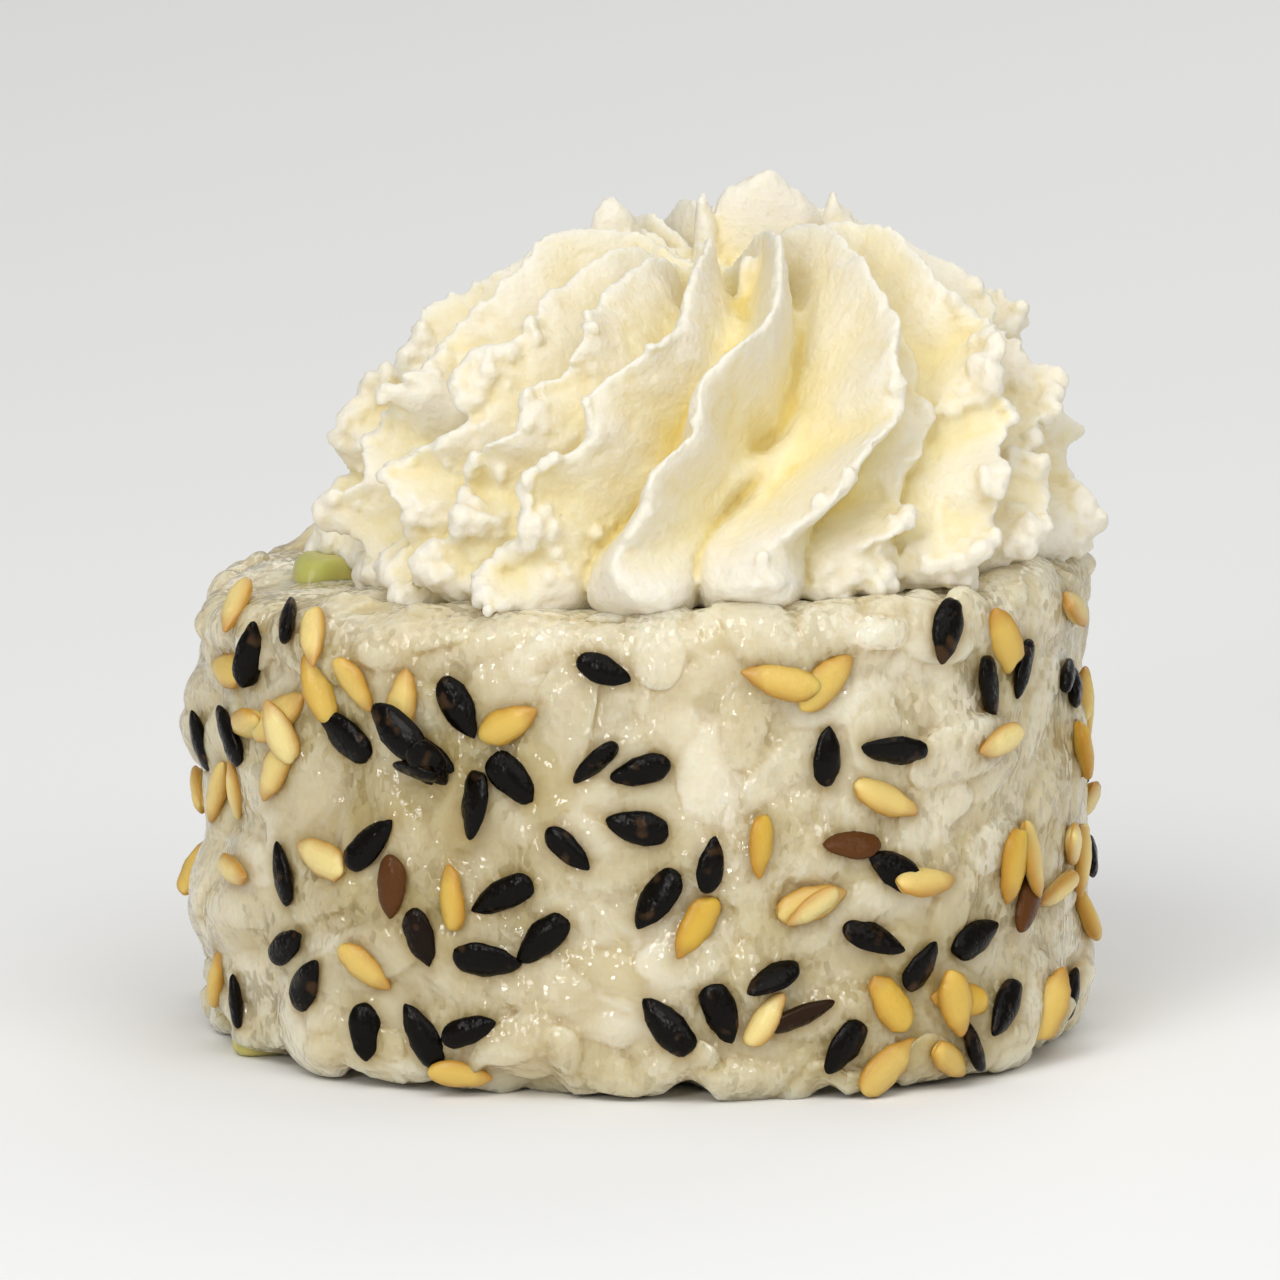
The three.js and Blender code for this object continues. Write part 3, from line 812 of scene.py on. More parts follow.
def shade_and_stain_rice():
    """Marks the rice close to a seed, for a painted contact shade and where oil from the seed
    soaked in.
    """
    tree = point_tree(np.vstack([read_points(black_sesame), read_points(golden_sesame)]))
    away = np.array([tree.find(point)[2] for point in read_points(rice)])
    seed_shade_and_stain = np.exp(-((away / SHADE_AND_STAIN_REACH) ** 2))
    paint_points(rice, "seed_shade_and_stain", seed_shade_and_stain)
    print("share of the rice that is stained:", round(float(seed_shade_and_stain.mean()), 2))


shade_and_stain_rice()

# %% [markdown]
# ## The avocado strip
#
# A thin wedge of avocado runs from the base to the upper cut, where it peeps out beside the
# cream. It is a leaning bar with a lens-shaped section. Modelled as rings of that section, it is
# rounded off at both ends and wanders a little as hand-cut fruit does.

# %% A lens-shaped bar, ring by ring
STRIP_LONG = 7.4
STRIP_SHORT = 4.0
STRIP_TOP = np.array([-14.6, -1.4])
STRIP_FOOT = np.array([-17.6, -6.2])
STRIP_TURN = math.radians(68)
STRIP_PROUD = 0.9  # how far it stands out of the upper cut
STRIP_ROUNDING = 0.7
STRIP_RINGS = 40
STRIP_SIDES = 48


def avocado_piece():
    length = top_height(*STRIP_TOP) + STRIP_PROUD
    around = turns(STRIP_SIDES)
    points = [(*STRIP_FOOT, 0)]
    for z in length * (0.5 - 0.5 * np.cos(math.pi * middles(STRIP_RINGS))):
        to_end = min(z, length - z, STRIP_ROUNDING)
        drop = math.sqrt(max(STRIP_ROUNDING**2 - (STRIP_ROUNDING - to_end) ** 2, 0))
        inset = STRIP_ROUNDING - drop
        wander = 0.12 * np.sin(3 * around + 0.5 * z) + 0.08 * np.sin(5 * around - 0.9 * z)
        u = (STRIP_LONG / 2 - inset + wander) * np.cos(around)
        v = (STRIP_SHORT / 2 - inset + wander) * np.sin(around)
        middle = STRIP_FOOT + (STRIP_TOP - STRIP_FOOT) * z / length
        x = middle[0] + u * math.cos(STRIP_TURN) - v * math.sin(STRIP_TURN)
        y = middle[1] + u * math.sin(STRIP_TURN) + v * math.cos(STRIP_TURN)
        points.extend(zip(x, y, np.full(STRIP_SIDES, z)))
    points.append((*STRIP_TOP, length))
    piece = make_piece("avocado", points, skin_faces(STRIP_RINGS, STRIP_SIDES))
    piece.data.shade_smooth()
    return piece


avocado = avocado_piece()
print("avocado:", triangles(avocado), "triangles")

# %% [markdown]
# ## The rosette of cream cheese
#
# A star nozzle was held over the rice and lifted with a slight turn. Each of its teeth left a
# ridge, sharp where the cheese tore and round where it spread at the foot. The rosette is one
# skin whose columns follow the ridges. The front ones are placed one by one, the others share
# what is left of the turn.

# %% The ridges
RIDGE_LEVELS = (0, 0.2, 0.4, 0.6, 0.8, 0.95)
# Degrees from the front at those levels, then how strong the ridge is above and at its foot, and
# how crumpled it is above and at its foot.
FRONT_RIDGES = [
    (-92, -94, -92, -88, -88, -94, 1.0, 1.0, 1.1, 1.0),
    (-69, -69, -69, -63, -66, -74, 1.0, 0.9, 1.1, 1.2),
    (-56, -54, -53, -46, -47, -54, 0.85, 0.8, 1.0, 1.5),
    (-46, -42, -38, -29, -27, -32, 0.8, 0.8, 1.0, 1.5),
    (-34, -29, -22, -15, -4, -4, 1.0, 0.8, 0.7, 1.5),
    (-10, -12, -4, -1, 12, 17, 1.05, 1.0, 0.5, 0.4),
    (8, 10, 24, 33, 34, 46, 1.05, 1.0, 0.6, 0.5),
    (27, 29, 39, 46, 48, 58, 0.3, 0.7, 0.6, 1.6),
    (46, 47, 53, 57, 61, 70, 1.0, 0.9, 1.0, 1.2),
    (60, 62, 70, 78, 87, 92, 0.95, 0.9, 1.1, 0.9),
    (79, 85, 90, 101, 111, 118, 0.95, 1.1, 1.1, 0.9),
]
BACK_RIDGES = 7

# Clefts torn into two valleys: the ridge before it, the way to the next, the level, the reach up
# and down, the half width and the depth.
CLEFTS = [
    (4, 0.55, 0.58, 0.09, 0.9, 1.6),
    (4, 0.76, 0.46, 0.09, 0.7, 2.2),
    (4, 0.64, 0.30, 0.13, 0.8, 1.9),
    (5, 0.38, 0.67, 0.10, 1.4, 2.0),
    (5, 0.47, 0.38, 0.12, 0.8, 1.6),
]


def lay_ridges():
    """Every ridge's numbers, with two phases and the height of its petal added."""
    stream = random_stream(23)
    ridges = [list(ridge) for ridge in FRONT_RIDGES]
    first, last = ridges[0], ridges[-1]
    for k in range(1, BACK_RIDGES + 1):
        share = (k + 0.3 * (next(stream) - 0.5)) / (BACK_RIDGES + 1)
        angles = [last[i] + (first[i] + 360 - last[i]) * share for i in range(len(RIDGE_LEVELS))]
        strengths = [0.8 + 0.2 * next(stream) for _ in range(2)]
        ridges.append([*angles, *strengths, 0.9, 0.9])
    for index, ridge in enumerate(ridges):
        petal = 0.3 * next(stream) + (0.7 if index >= len(FRONT_RIDGES) else 0.1)
        ridge.extend([2 * math.pi * next(stream), 2 * math.pi * next(stream), petal])
    return np.array(ridges)


RIDGES = lay_ridges()
STRENGTH, FOOT_STRENGTH, CRUMPLE, FOOT_CRUMPLE, PHASE, SECOND_PHASE, PETAL = range(6, 13)
PATH_SMOOTHING = 0.07  # of the height
print(len(RIDGES), "ridges")


def ridge_angles(level):
    """The angle of every ridge at some levels, along a smooth path through its own."""
    reach = PATH_SMOOTHING
    path = [
        np.array([np.interp(level + step, RIDGE_LEVELS, ridge[:6]) for ridge in RIDGES])
        for step in (-reach, -reach / 2, 0, reach / 2, reach)
    ]
    return np.mean(path, axis=0).T

# %% [markdown]
# ## Tearing the crests
#
# Whipped cream cheese doesn't leave the nozzle clean. The crests are torn into lips a millimetre
# long that curl to one side, while the valleys stay smooth, apart from a few clefts. The tearing
# is added to the skin's own rule, by how near a point is to a crest. Where the cheese crumpled
# most, thousands of tiny crumbs are strewn on it. Melting all of it once joins crumbs, tips and
# lips.

# %% The dome, row by row
CREAM_RADIUS = 18.3
CREAM_HEIGHT = 17.6
HOLLOW_DEPTH = 3.0
HOLLOW_RADIUS = 4.2
FOOT_HEIGHT = 1.8
FOOT_TUCK = 1.3
CREAM_ROWS = 230


def dome_profile():
    """The dome's radius, height and outward normal, row by row from the foot up."""
    rise = np.arange(CREAM_ROWS) / CREAM_ROWS * math.pi / 2
    share = np.sin(rise) ** 0.91
    z = CREAM_HEIGHT * share
    rho = CREAM_RADIUS * (1 - share**2.5) ** 0.55
    radial, upward = -np.gradient(z), np.gradient(rho)
    length = -np.hypot(radial, upward)
    tuck = FOOT_TUCK * np.maximum(1 - z / FOOT_HEIGHT, 0) ** 2
    z_sunk = z - HOLLOW_DEPTH * np.exp(-((rho / HOLLOW_RADIUS) ** 2))
    return rho - tuck, z_sunk, radial / length, upward / length


print("the dome's foot is", round(float(2 * dome_profile()[0][0]), 1), "mm across")

# %% A ridge, across and along
CREST_SHARPNESS = 1.7
CREST_ROUNDING = 0.2
LOBE_REACH = 0.5  # of the way to the next ridge


def bell(distance, reach):
    """1 at a distance of 0, falling softly to 0 past the reach."""
    return np.exp(-((distance / reach) ** 2))


def crest(distance, reach, numbers, at_foot):
    """How high a ridge stands at a distance from its crest: a blade above, a lobe at the foot."""
    lobe = numbers[:, FOOT_STRENGTH] * (1 - np.minimum(distance / LOBE_REACH, 1) ** 2) ** 0.5
    down = np.minimum(np.hypot(distance / reach, CREST_ROUNDING), 1)
    blade = numbers[:, STRENGTH] * ((1 - down) / (1 - CREST_ROUNDING)) ** CREST_SHARPNESS
    return blade + (lobe - blade) * at_foot


def waves(count, level, phase):
    return np.sin(2 * math.pi * count * level + phase)


print("half way to its reach a crest stands at", round(0.5**CREST_SHARPNESS, 2), "of its height")

# %% The skin of the rosette
RIDGE_COLUMNS = 32
RIDGE_DEPTH = 4.6
CREST_REACH = 2.6  # millimetres from a crest to the floor of a valley
CREST_WAVE = 0.8  # millimetres that a crest wanders to the side
CREST_LEAN = 1.1  # and that it leans away from the front
WAVE_REACH = 1.6
LIP_REACH = 1.0
TEAR_DEPTH = 0.5
TEARS, FINE_TEARS, WAVES = 3.3, 6.1, 4.1  # how many of each there are from foot to top
FOOT_LEVEL = 0.22  # share of the height where lobes give way to blades
MIDDLE_RADIUS = 5  # nearer the middle than this the ridges fade
PETAL_RADIUS = 6.0  # how far from the middle the crests end in petals
PETAL_REACH = 2.4
PETAL_RISE = 1.0
PEAK_LEAN = 2.0


def rosette_points():
    """The rosette's points over the middle of its foot, in rings from the foot up."""
    rho_row, z_row, radial, upward = dome_profile()
    level_row = np.clip(z_row / CREAM_HEIGHT, 0, 1)
    angles = ridge_angles(level_row)
    angles = np.hstack([angles, angles[:, :1] + 360])
    column = np.arange(len(RIDGES) * RIDGE_COLUMNS)
    index = column // RIDGE_COLUMNS
    step = (column % RIDGE_COLUMNS) / RIDGE_COLUMNS
    way = (step - 0.11 * np.sin(2 * math.pi * step))[None, :]
    rho, z, level = rho_row[:, None], z_row[:, None], level_row[:, None]
    ridge, following = RIDGES[index], RIDGES[(index + 1) % len(RIDGES)]
    start, end = angles[:, index], angles[:, index + 1]
    at_foot = bell(level, FOOT_LEVEL)

    # how deep the skin is sunk between two crests
    spacing = np.radians(end - start) * rho
    reach = np.minimum(CREST_REACH / spacing, 0.7)
    height = crest(way, reach, ridge, at_foot) + crest(1 - way, reach, following, at_foot)
    crowding = np.sqrt(np.minimum((end - start) / 20, 1.3))
    near_middle = np.minimum(rho / MIDDLE_RADIUS, 1)
    sunk = (height - 1) * RIDGE_DEPTH * crowding * near_middle * (1 - 0.2 * at_foot)
    for cleft_index, at, middle, climb, width, depth in CLEFTS:
        across = np.where(index == cleft_index, (way - at) * spacing / width, 9)
        sunk = sunk - depth * np.exp(-(across**2) - ((level - middle) / climb) ** 2)

    # how the crests are torn
    from_crest = np.minimum(way, 1 - way) * spacing
    lip = bell(from_crest, LIP_REACH)
    nearer = np.where((way < 0.5)[..., None], ridge[None], following[None])
    tear = waves(TEARS, level, nearer[..., PHASE])
    tear = tear + 0.6 * waves(FINE_TEARS, level, nearer[..., SECOND_PHASE])
    crumple = nearer[..., CRUMPLE] * (1 - at_foot) + nearer[..., FOOT_CRUMPLE] * at_foot
    crumple *= 1 - 0.6 * np.clip((level - 0.6) / 0.25, 0, 1)
    sunk += TEAR_DEPTH * tear * lip * crumple * near_middle

    # how they wander and lean, and rise into petals near the middle
    wave = CREST_WAVE * crumple * waves(WAVES, level, 2 * nearer[..., PHASE])
    nearer_start = np.where(way < 0.5, start, end)
    lean = CREST_LEAN * np.clip(3 * np.sin(np.radians(nearer_start - 3)), -1, 1) * (1 - at_foot)
    aside = (wave + lean) * bell(from_crest, WAVE_REACH) / np.maximum(rho, 3)
    angle = np.radians(start + (end - start) * way - 90) + aside
    petal = PETAL_RISE * nearer[..., PETAL] * lip * bell(rho - PETAL_RADIUS, PETAL_REACH)
    rho = np.maximum(rho + radial[:, None] * sunk, 0.15)
    z = z + upward[:, None] * sunk + petal
    x = rho * np.cos(angle) + PEAK_LEAN * level**2
    points = np.stack([x, rho * np.sin(angle), z], -1).reshape(-1, 3)
    return points, lip.ravel(), crumple.ravel(), (at_foot + 0 * lip).ravel()


print("the rosette's skin has", len(rosette_points()[0]), "points")

# %% The torn tips on top
# X and y from the middle of the foot, height of the tip, width, thickness, and turn in degrees.
TIPS = [
    (3.0, 2.6, 18.6, 6.2, 2.0, 8),
    (0.6, 1.8, 17.8, 1.5, 1.3, -20),
    (-4.0, 1.6, 17.9, 3.4, 1.7, 10),
    (6.9, 1.4, 17.8, 1.6, 1.3, 0),
    (0.6, -4.7, 16.4, 1.7, 1.2, 70),
    (2.7, -5.0, 15.7, 1.7, 1.2, 80),
]
TIP_LENGTH = 7.0
TIP_RINGS = 24
TIP_SIDES = 28


def tip_points(x, y, top, width, thickness, turn):
    """A flat tongue of cream that stands in the rosette and ends in a rounded tip."""
    up = middles(TIP_RINGS)
    around = turns(TIP_SIDES)
    narrowing = (1 - up**3.5) ** 0.6
    u = np.outer(narrowing, np.cos(around)) * width / 2
    v = np.outer(0.35 + 0.65 * narrowing, np.sin(around)) * thickness / 2
    lean = 0.12 * width * np.sin(2.5 * up)[:, None]
    angle = math.radians(turn)
    px = x + (u + lean) * math.cos(angle) - v * math.sin(angle)
    py = y + (u + lean) * math.sin(angle) + v * math.cos(angle)
    pz = np.repeat(top - TIP_LENGTH * (1 - up), TIP_SIDES)
    ring_points = np.stack([px.ravel(), py.ravel(), pz], -1)
    ends = [ring_points[:TIP_SIDES].mean(axis=0), ring_points[-TIP_SIDES:].mean(axis=0)]
    return np.vstack([ends[:1], ring_points, ends[1:]])


def torn(points, amount):
    """Pushes points outwards into curds, as cheese that is whipped too stiff tears."""
    outward = points - (0.5 * PEAK_LEAN, 0, 0.35 * CREAM_HEIGHT)
    outward /= np.linalg.norm(outward, axis=1)[:, None]
    curds = np.abs(lumps(points, 1.7, 3.0)) + 0.5 * np.abs(lumps(points, 0.85, 9.0)) - 0.3
    swell = 0.45 * lumps(points, 2.8, 17.0) + 0.16 * lumps(points, 1.2, 19.0)
    return points + outward * (1.1 * curds * amount + swell)[:, None]


print(len(TIPS), "torn tips of", len(tip_points(*TIPS[0])), "points each")

# %% Crumbs
CRUMBS = 5000
CRUMB_RINGS = 5
CRUMB_SIDES = 8


def crumb_shape():
    """A round crumb of radius 1."""
    down = math.pi * (np.arange(CRUMB_RINGS) + 1) / (CRUMB_RINGS + 1)
    around = turns(CRUMB_SIDES)
    x = np.outer(np.sin(down), np.cos(around)).ravel()
    y = np.outer(np.sin(down), np.sin(around)).ravel()
    z = -np.repeat(np.cos(down), CRUMB_SIDES)
    return np.vstack([[(0, 0, -1)], np.stack([x, y, z], -1), [(0, 0, 1)]])


def crumb_places(points, chance):
    """Centres and half sizes of crumbs, strewn by how likely each point is to carry one."""
    stream = random_stream(61)
    total = np.cumsum(chance * np.clip(0.4 + 2 * lumps(points, 2.4, 71.0), 0, 1) ** 2)
    for _ in range(CRUMBS):
        index = np.searchsorted(total, next(stream) * total[-1])
        size = 0.17 + 0.36 * next(stream) ** 3
        yield points[index], size * np.array([0.75 + 0.5 * next(stream) for _ in range(3)])


print("a crumb has", len(crumb_shape()), "points")

# %% Put the rosette together
CREAM_CENTRE = (2.8, -2.4)
FOOT_SINK = 0.5  # millimetres that the foot is pressed into the rice
CREAM_VOXEL = 0.17
CREAM_TRIANGLES = 190000


def cream_piece():
    """The rosette over the rice."""
    points, lip, crumple, at_foot = rosette_points()
    points = torn(points, crumple * (0.3 + 0.7 * lip))
    chance = np.clip(crumple - 0.45, 0, 2) ** 2 * (lip**2 + 0.5 * at_foot)
    crumbs = list(crumb_places(points, chance))
    count = len(RIDGES) * RIDGE_COLUMNS
    skin = np.vstack([[(0, 0, -1.0)], points, [points[-count:].mean(axis=0)]])
    shapes = [(skin, skin_faces(CREAM_ROWS, count))]
    tip_faces = skin_faces(TIP_RINGS, TIP_SIDES)
    shapes.extend((torn(tip_points(*tip), 0.8), tip_faces) for tip in TIPS)
    crumb = crumb_shape()
    crumb_faces = skin_faces(CRUMB_RINGS, CRUMB_SIDES)
    shapes.extend((centre + crumb * size, crumb_faces) for centre, size in crumbs)
    starts = np.cumsum([0] + [len(shape) for shape, _ in shapes])
    faces = [
        [start + corner for corner in face]
        for start, (_, shape_faces) in zip(starts, shapes)
        for face in shape_faces
    ]
    points = np.vstack([shape for shape, _ in shapes]) - (0, 0, FOOT_SINK)
    slope = Vector((-TOP_SLOPE_X, -TOP_SLOPE_Y, 1)).normalized()
    tilt = np.array(Vector((0, 0, 1)).rotation_difference(slope).to_matrix())
    x, y = CREAM_CENTRE
    points = points @ tilt.T + (x, y, top_height(x, y))
    return make_piece("piped_cream_cheese", points, faces)


cream = cream_piece()
melt_together(cream, CREAM_VOXEL, CREAM_TRIANGLES)

# %% Roughen the cream and mark its hollows and lips, for painted shade and highlight
# Rounds of smoothing that level out valleys and pits, and what counts as a full one of each.
VALLEY_ROUNDS = 160
PIT_ROUNDS = 12
VALLEY_DEPTH = 0.9
LIP_HEIGHT = 0.5
PIT_DEPTH = 0.12


def finish_cream():
    points = read_points(cream)
    grit = 0.07 * lumps(points, 0.7, 31.0) + 0.06 * lumps(points, 0.33, 37.0)
    drag = 0.05 * lumps(points * (1.5, 1.5, 0.4), 0.6, 43.0)
    write_points(cream, points + read_vectors(cream, "normal") * (grit + drag)[:, None])
    wide = hollows(cream, VALLEY_ROUNDS)
    near = hollows(cream, PIT_ROUNDS)
    # Valleys and pits carry a yellow painted shade in the material, the lips a whiter painted
    # highlight.
    paint_points(cream, "valley_shade", np.clip(wide / VALLEY_DEPTH, 0, 1))
    paint_points(cream, "lip", np.clip(-wide / LIP_HEIGHT, 0, 1))
    paint_points(cream, "pit_shade", np.clip(near / PIT_DEPTH, 0, 1))
    print("the deepest valley lies", round(float(wide.max()), 1), "mm under the smoothed skin")


finish_cream()

# %% [markdown]
# ## An effect that all of the food shares
#
# Every surface here is natural, so none has one flat colour or one flat gloss. One node group
# gives each material slow patches for its colour, and a fine grit in millimetres for its bump. A
# second one adds small flat facets, each tilted its own way, where the rice and the seeds are
# marked wet. Wet starch and seed skins glint in specks because a few such facets face the light.

# %% Where the skins are wet
def wet_patches(piece, size):
    """Marks patches of about a size in millimetres where the facets show, from 0 to 1."""
    paint_points(piece, "wet", np.clip(0.75 + 2.2 * lumps(read_points(piece), size, 83.0), 0, 1))


for piece, size in ((rice, 3.8), (black_sesame, 1.1), (golden_sesame, 1.4)):
    wet_patches(piece, size)
    print("wet patches on", piece.name)

# %% The two node groups
def new_group(name, inputs, outputs):
    """An empty group, with its two ends and the place of a point on the piece."""
    group = bpy.data.node_groups.new(name, "ShaderNodeTree")
    for way, names in (("INPUT", inputs), ("OUTPUT", outputs)):
        for socket in names:
            group.interface.new_socket(socket, in_out=way, socket_type="NodeSocketFloat")
    inside = group.nodes.new("NodeGroupInput").outputs
    outside = group.nodes.new("NodeGroupOutput").inputs
    return group, inside, outside, group.nodes.new("ShaderNodeTexCoord").outputs["Object"]


def reckon(group, kind, operation, first, second, output="Value"):
    node = group.nodes.new(kind)
    node.operation = operation
    for socket, value in zip(node.inputs, (first, second)):
        if isinstance(value, bpy.types.NodeSocket):
            group.links.new(value, socket)
        else:
            socket.default_value = value
    return node.outputs[output]


def mottle_group():
    group, inside, outside, place = new_group(
        "food_mottle", ("Patch Scale", "Grit Scale", "Grit Height"), ("Patches", "Grit")
    )

    def noise_field(scale):
        texture = group.nodes.new("ShaderNodeTexNoise")
        texture.inputs["Detail"].default_value = 1
        texture.inputs["Roughness"].default_value = 0.6
        group.links.new(place, texture.inputs["Vector"])
        group.links.new(inside[scale], texture.inputs["Scale"])
        return texture.outputs["Fac"]

    grit = reckon(group, "ShaderNodeMath", "SUBTRACT", noise_field("Grit Scale"), 0.5)
    grit = reckon(group, "ShaderNodeMath", "MULTIPLY", grit, inside["Grit Height"])
    group.links.new(noise_field("Patch Scale"), outside["Patches"])
    group.links.new(grit, outside["Grit"])
    return group


def facet_group():
    group, inside, outside, place = new_group(
        "wet_facets", ("Grit", "Facet Scale", "Facet Slope"), ("Relief",)
    )
    stretched = group.nodes.new("ShaderNodeMapping")
    stretched.inputs["Rotation"].default_value = (0, math.radians(40), 0)
    stretched.inputs["Scale"].default_value = (1, 1, 0.5)
    group.links.new(place, stretched.inputs["Vector"])
    place = stretched.outputs["Vector"]
    cells = group.nodes.new("ShaderNodeTexVoronoi")
    group.links.new(place, cells.inputs["Vector"])
    group.links.new(inside["Facet Scale"], cells.inputs["Scale"])
    wet = group.nodes.new("ShaderNodeAttribute")
    wet.attribute_name = "wet"
    vectors, numbers = "ShaderNodeVectorMath", "ShaderNodeMath"
    middle = (0.5, 0.5, 0.5)
    tilt = reckon(group, vectors, "SUBTRACT", cells.outputs["Color"], middle, "Vector")
    offset = reckon(group, vectors, "SUBTRACT", place, cells.outputs["Position"], "Vector")
    facets = reckon(group, vectors, "DOT_PRODUCT", tilt, offset)
    facets = reckon(group, numbers, "MULTIPLY", facets, 2 / MM)
    facets = reckon(group, numbers, "MULTIPLY", facets, inside["Facet Slope"])
    facets = reckon(group, numbers, "MULTIPLY", facets, wet.outputs["Fac"])
    relief = reckon(group, numbers, "ADD", inside["Grit"], facets)
    group.links.new(relief, outside["Relief"])
    return group


MOTTLE = mottle_group()
FACETS = facet_group()
print("node groups:", [group.name for group in bpy.data.node_groups])

# %% A material in the making
class Finish:
    """One material, with short ways to add its nodes."""

    def __init__(self, name, **mottle):
        self.material = bpy.data.materials.new(name)
        self.material.use_nodes = True
        self.nodes = self.material.node_tree.nodes
        self.links = self.material.node_tree.links
        self.shader = self.nodes["Principled BSDF"]
        self.mottle = self.group(MOTTLE, mottle)

    def group(self, tree, values):
        node = self.nodes.new("ShaderNodeGroup")
        node.node_tree = tree
        for name, value in values.items():
            node.inputs[name.replace("_", " ")].default_value = value
        return node

    def set(self, **values):
        for name, value in values.items():
            self.shader.inputs[name.replace("_", " ")].default_value = value

    def painted(self, name, most=1.0):
        """What was stored at the points under a name, scaled down to at most so much."""
        node = self.nodes.new("ShaderNodeAttribute")
        node.attribute_name = name
        stored = node.outputs["Fac"]
        return stored if most == 1.0 else self.spread(stored, 0.0, 1.0, 0.0, most)

    def patches(self, *limits):
        """The mottle's slow patches, stretched between limits."""
        return self.spread(self.mottle.outputs["Patches"], *limits)

    def blend(self, amount, start, end):
        """A colour between two, by an amount from 0 to 1. Each may be a colour or a socket."""
        node = self.nodes.new("ShaderNodeMix")
        node.data_type = "RGBA"
        self.links.new(amount, node.inputs["Factor"])
        for socket, colour in (("A", start), ("B", end)):
            target = next(i for i in node.inputs if i.name == socket and i.type == "RGBA")
            if isinstance(colour, bpy.types.NodeSocket):
                self.links.new(colour, target)
            else:
                target.default_value = (*colour, 1)
        return next(o for o in node.outputs if o.type == "RGBA")

    def layered(self, colour, *layers):
        """Lays colours over one another, each by its amount from 0 to 1."""
        for amount, over in layers:
            colour = self.blend(amount, colour, over)
        return colour

    def spread(self, value, low, high, to_low=0.0, to_high=1.0):
        """A value from low to high, stretched to other limits."""
        node = self.nodes.new("ShaderNodeMapRange")
        self.links.new(value, node.inputs["Value"])
        names = ("From Min", "From Max", "To Min", "To Max")
        for name, limit in zip(names, (low, high, to_low, to_high)):
            node.inputs[name].default_value = limit
        return node.outputs["Result"]

    def glow(self, weight, colour, scale):
        """Lets light into the food: how much of it, how far each colour goes, and millimetres."""
        self.set(Subsurface_Weight=weight, Subsurface_Radius=colour, Subsurface_Scale=scale * MM)

    def connect(self, output, name):
        self.links.new(output, self.shader.inputs[name])

    def bump(self, **facets):
        """Bends the light by the grit, at its true height, and by wet facets where asked for."""
        relief = self.mottle.outputs["Grit"]
        if facets:
            wet = self.group(FACETS, facets)
            self.links.new(relief, wet.inputs["Grit"])
            relief = wet.outputs["Relief"]
        node = self.nodes.new("ShaderNodeBump")
        node.inputs["Distance"].default_value = MM
        self.links.new(relief, node.inputs["Height"])
        self.links.new(node.outputs["Normal"], self.shader.inputs["Normal"])

    def dress(self, piece):
        piece.data.materials.clear()
        piece.data.materials.append(self.material)
        print(piece.name, "wears", self.material.name)

# %% [markdown]
# ## Moist rice
#
# Cooked rice is translucent: light goes a few millimetres in and comes back soft and warm, so the
# grains glow at their edges. Subsurface scattering does that, together with a painted highlight
# that makes the edges standing out lighter, while a painted shade darkens the crevices between
# grains. Where the rice is clear it looks darker and warmer, and round the seeds it is darker with
# a painted contact shade and a stain from their oil. The surface is wet with starch and glints in
# specks, which a low roughness with a fine bump gives.

# %% The rice's material
def rice_finish():
    finish = Finish("moist_rice", Patch_Scale=260, Grit_Scale=1500, Grit_Height=0.19)
    grain = finish.blend(finish.painted("grain_tone"), (0.63, 0.53, 0.31), (0.84, 0.77, 0.60))
    colour = finish.layered(
        grain,
        (finish.patches(0.4, 0.75), (0.61, 0.51, 0.29)),
        (finish.painted("seam", 0.12), (0.52, 0.42, 0.22)),
        # Painted highlight: the edges of the grains that stand out are lighter.
        (finish.painted("edge", 0.35), (0.86, 0.82, 0.70)),
        (finish.painted("clear"), (0.46, 0.36, 0.16)),
        # Painted shade: the crevices between grains are darker and browner.
        (finish.painted("crevice_shade", 0.3), (0.44, 0.31, 0.10)),
        # Painted contact shade round the seeds, together with their oil stain.
        (finish.painted("seed_shade_and_stain", 0.6), (0.40, 0.26, 0.05)),
    )
    finish.connect(colour, "Base Color")
    finish.connect(finish.patches(0.3, 0.7, 0.10, 0.2), "Roughness")
    finish.glow(0.65, (1.0, 0.75, 0.45), 3.6)
    finish.set(IOR=1.56)
    finish.bump(Facet_Scale=3600, Facet_Slope=0.62)
    finish.dress(rice)


rice_finish()

# %% [markdown]
# ## Sesame skins
#
# A black seed's skin is deep black with a soft sheen along its belly, and here and there a seed
# has rubbed brown. A golden seed is toasted: pale on its belly and amber at its tip and round its
# rim.

# %% The seeds' materials
def black_finish():
    finish = Finish("black_sesame_skin", Patch_Scale=900, Grit_Scale=2500, Grit_Height=0.03)
    rubbed = finish.patches(0.62, 0.72, 0.0, 0.5)
    dark = finish.blend(rubbed, (0.003, 0.002, 0.001), (0.09, 0.045, 0.018))
    worn = finish.spread(finish.painted("seed_tone"), 0.92, 1.0)
    finish.connect(finish.blend(worn, dark, (0.11, 0.040, 0.010)), "Base Color")
    finish.set(Roughness=0.26, IOR=1.45, Specular_IOR_Level=0.15)
    finish.bump(Facet_Scale=9000, Facet_Slope=0.22)
    finish.dress(black_sesame)


def golden_finish():
    finish = Finish("golden_sesame_skin", Patch_Scale=700, Grit_Scale=2500, Grit_Height=0.03)
    toasted = finish.blend(finish.painted("seed_tone"), (0.86, 0.71, 0.31), (0.68, 0.43, 0.045))
    tip = finish.spread(finish.painted("seed_share"), 0.7, 1.0, 0.0, 0.8)
    rim = finish.painted("seed_rim", 0.9)
    colour = finish.layered(toasted, (tip, (0.42, 0.18, 0.03)), (rim, (0.45, 0.21, 0.012)))
    finish.connect(colour, "Base Color")
    finish.set(Roughness=0.36, IOR=1.45)
    finish.glow(0.35, (1.0, 0.6, 0.25), 0.8)
    finish.bump(Facet_Scale=6000, Facet_Slope=0.12)
    finish.dress(golden_sesame)


black_finish()
golden_finish()
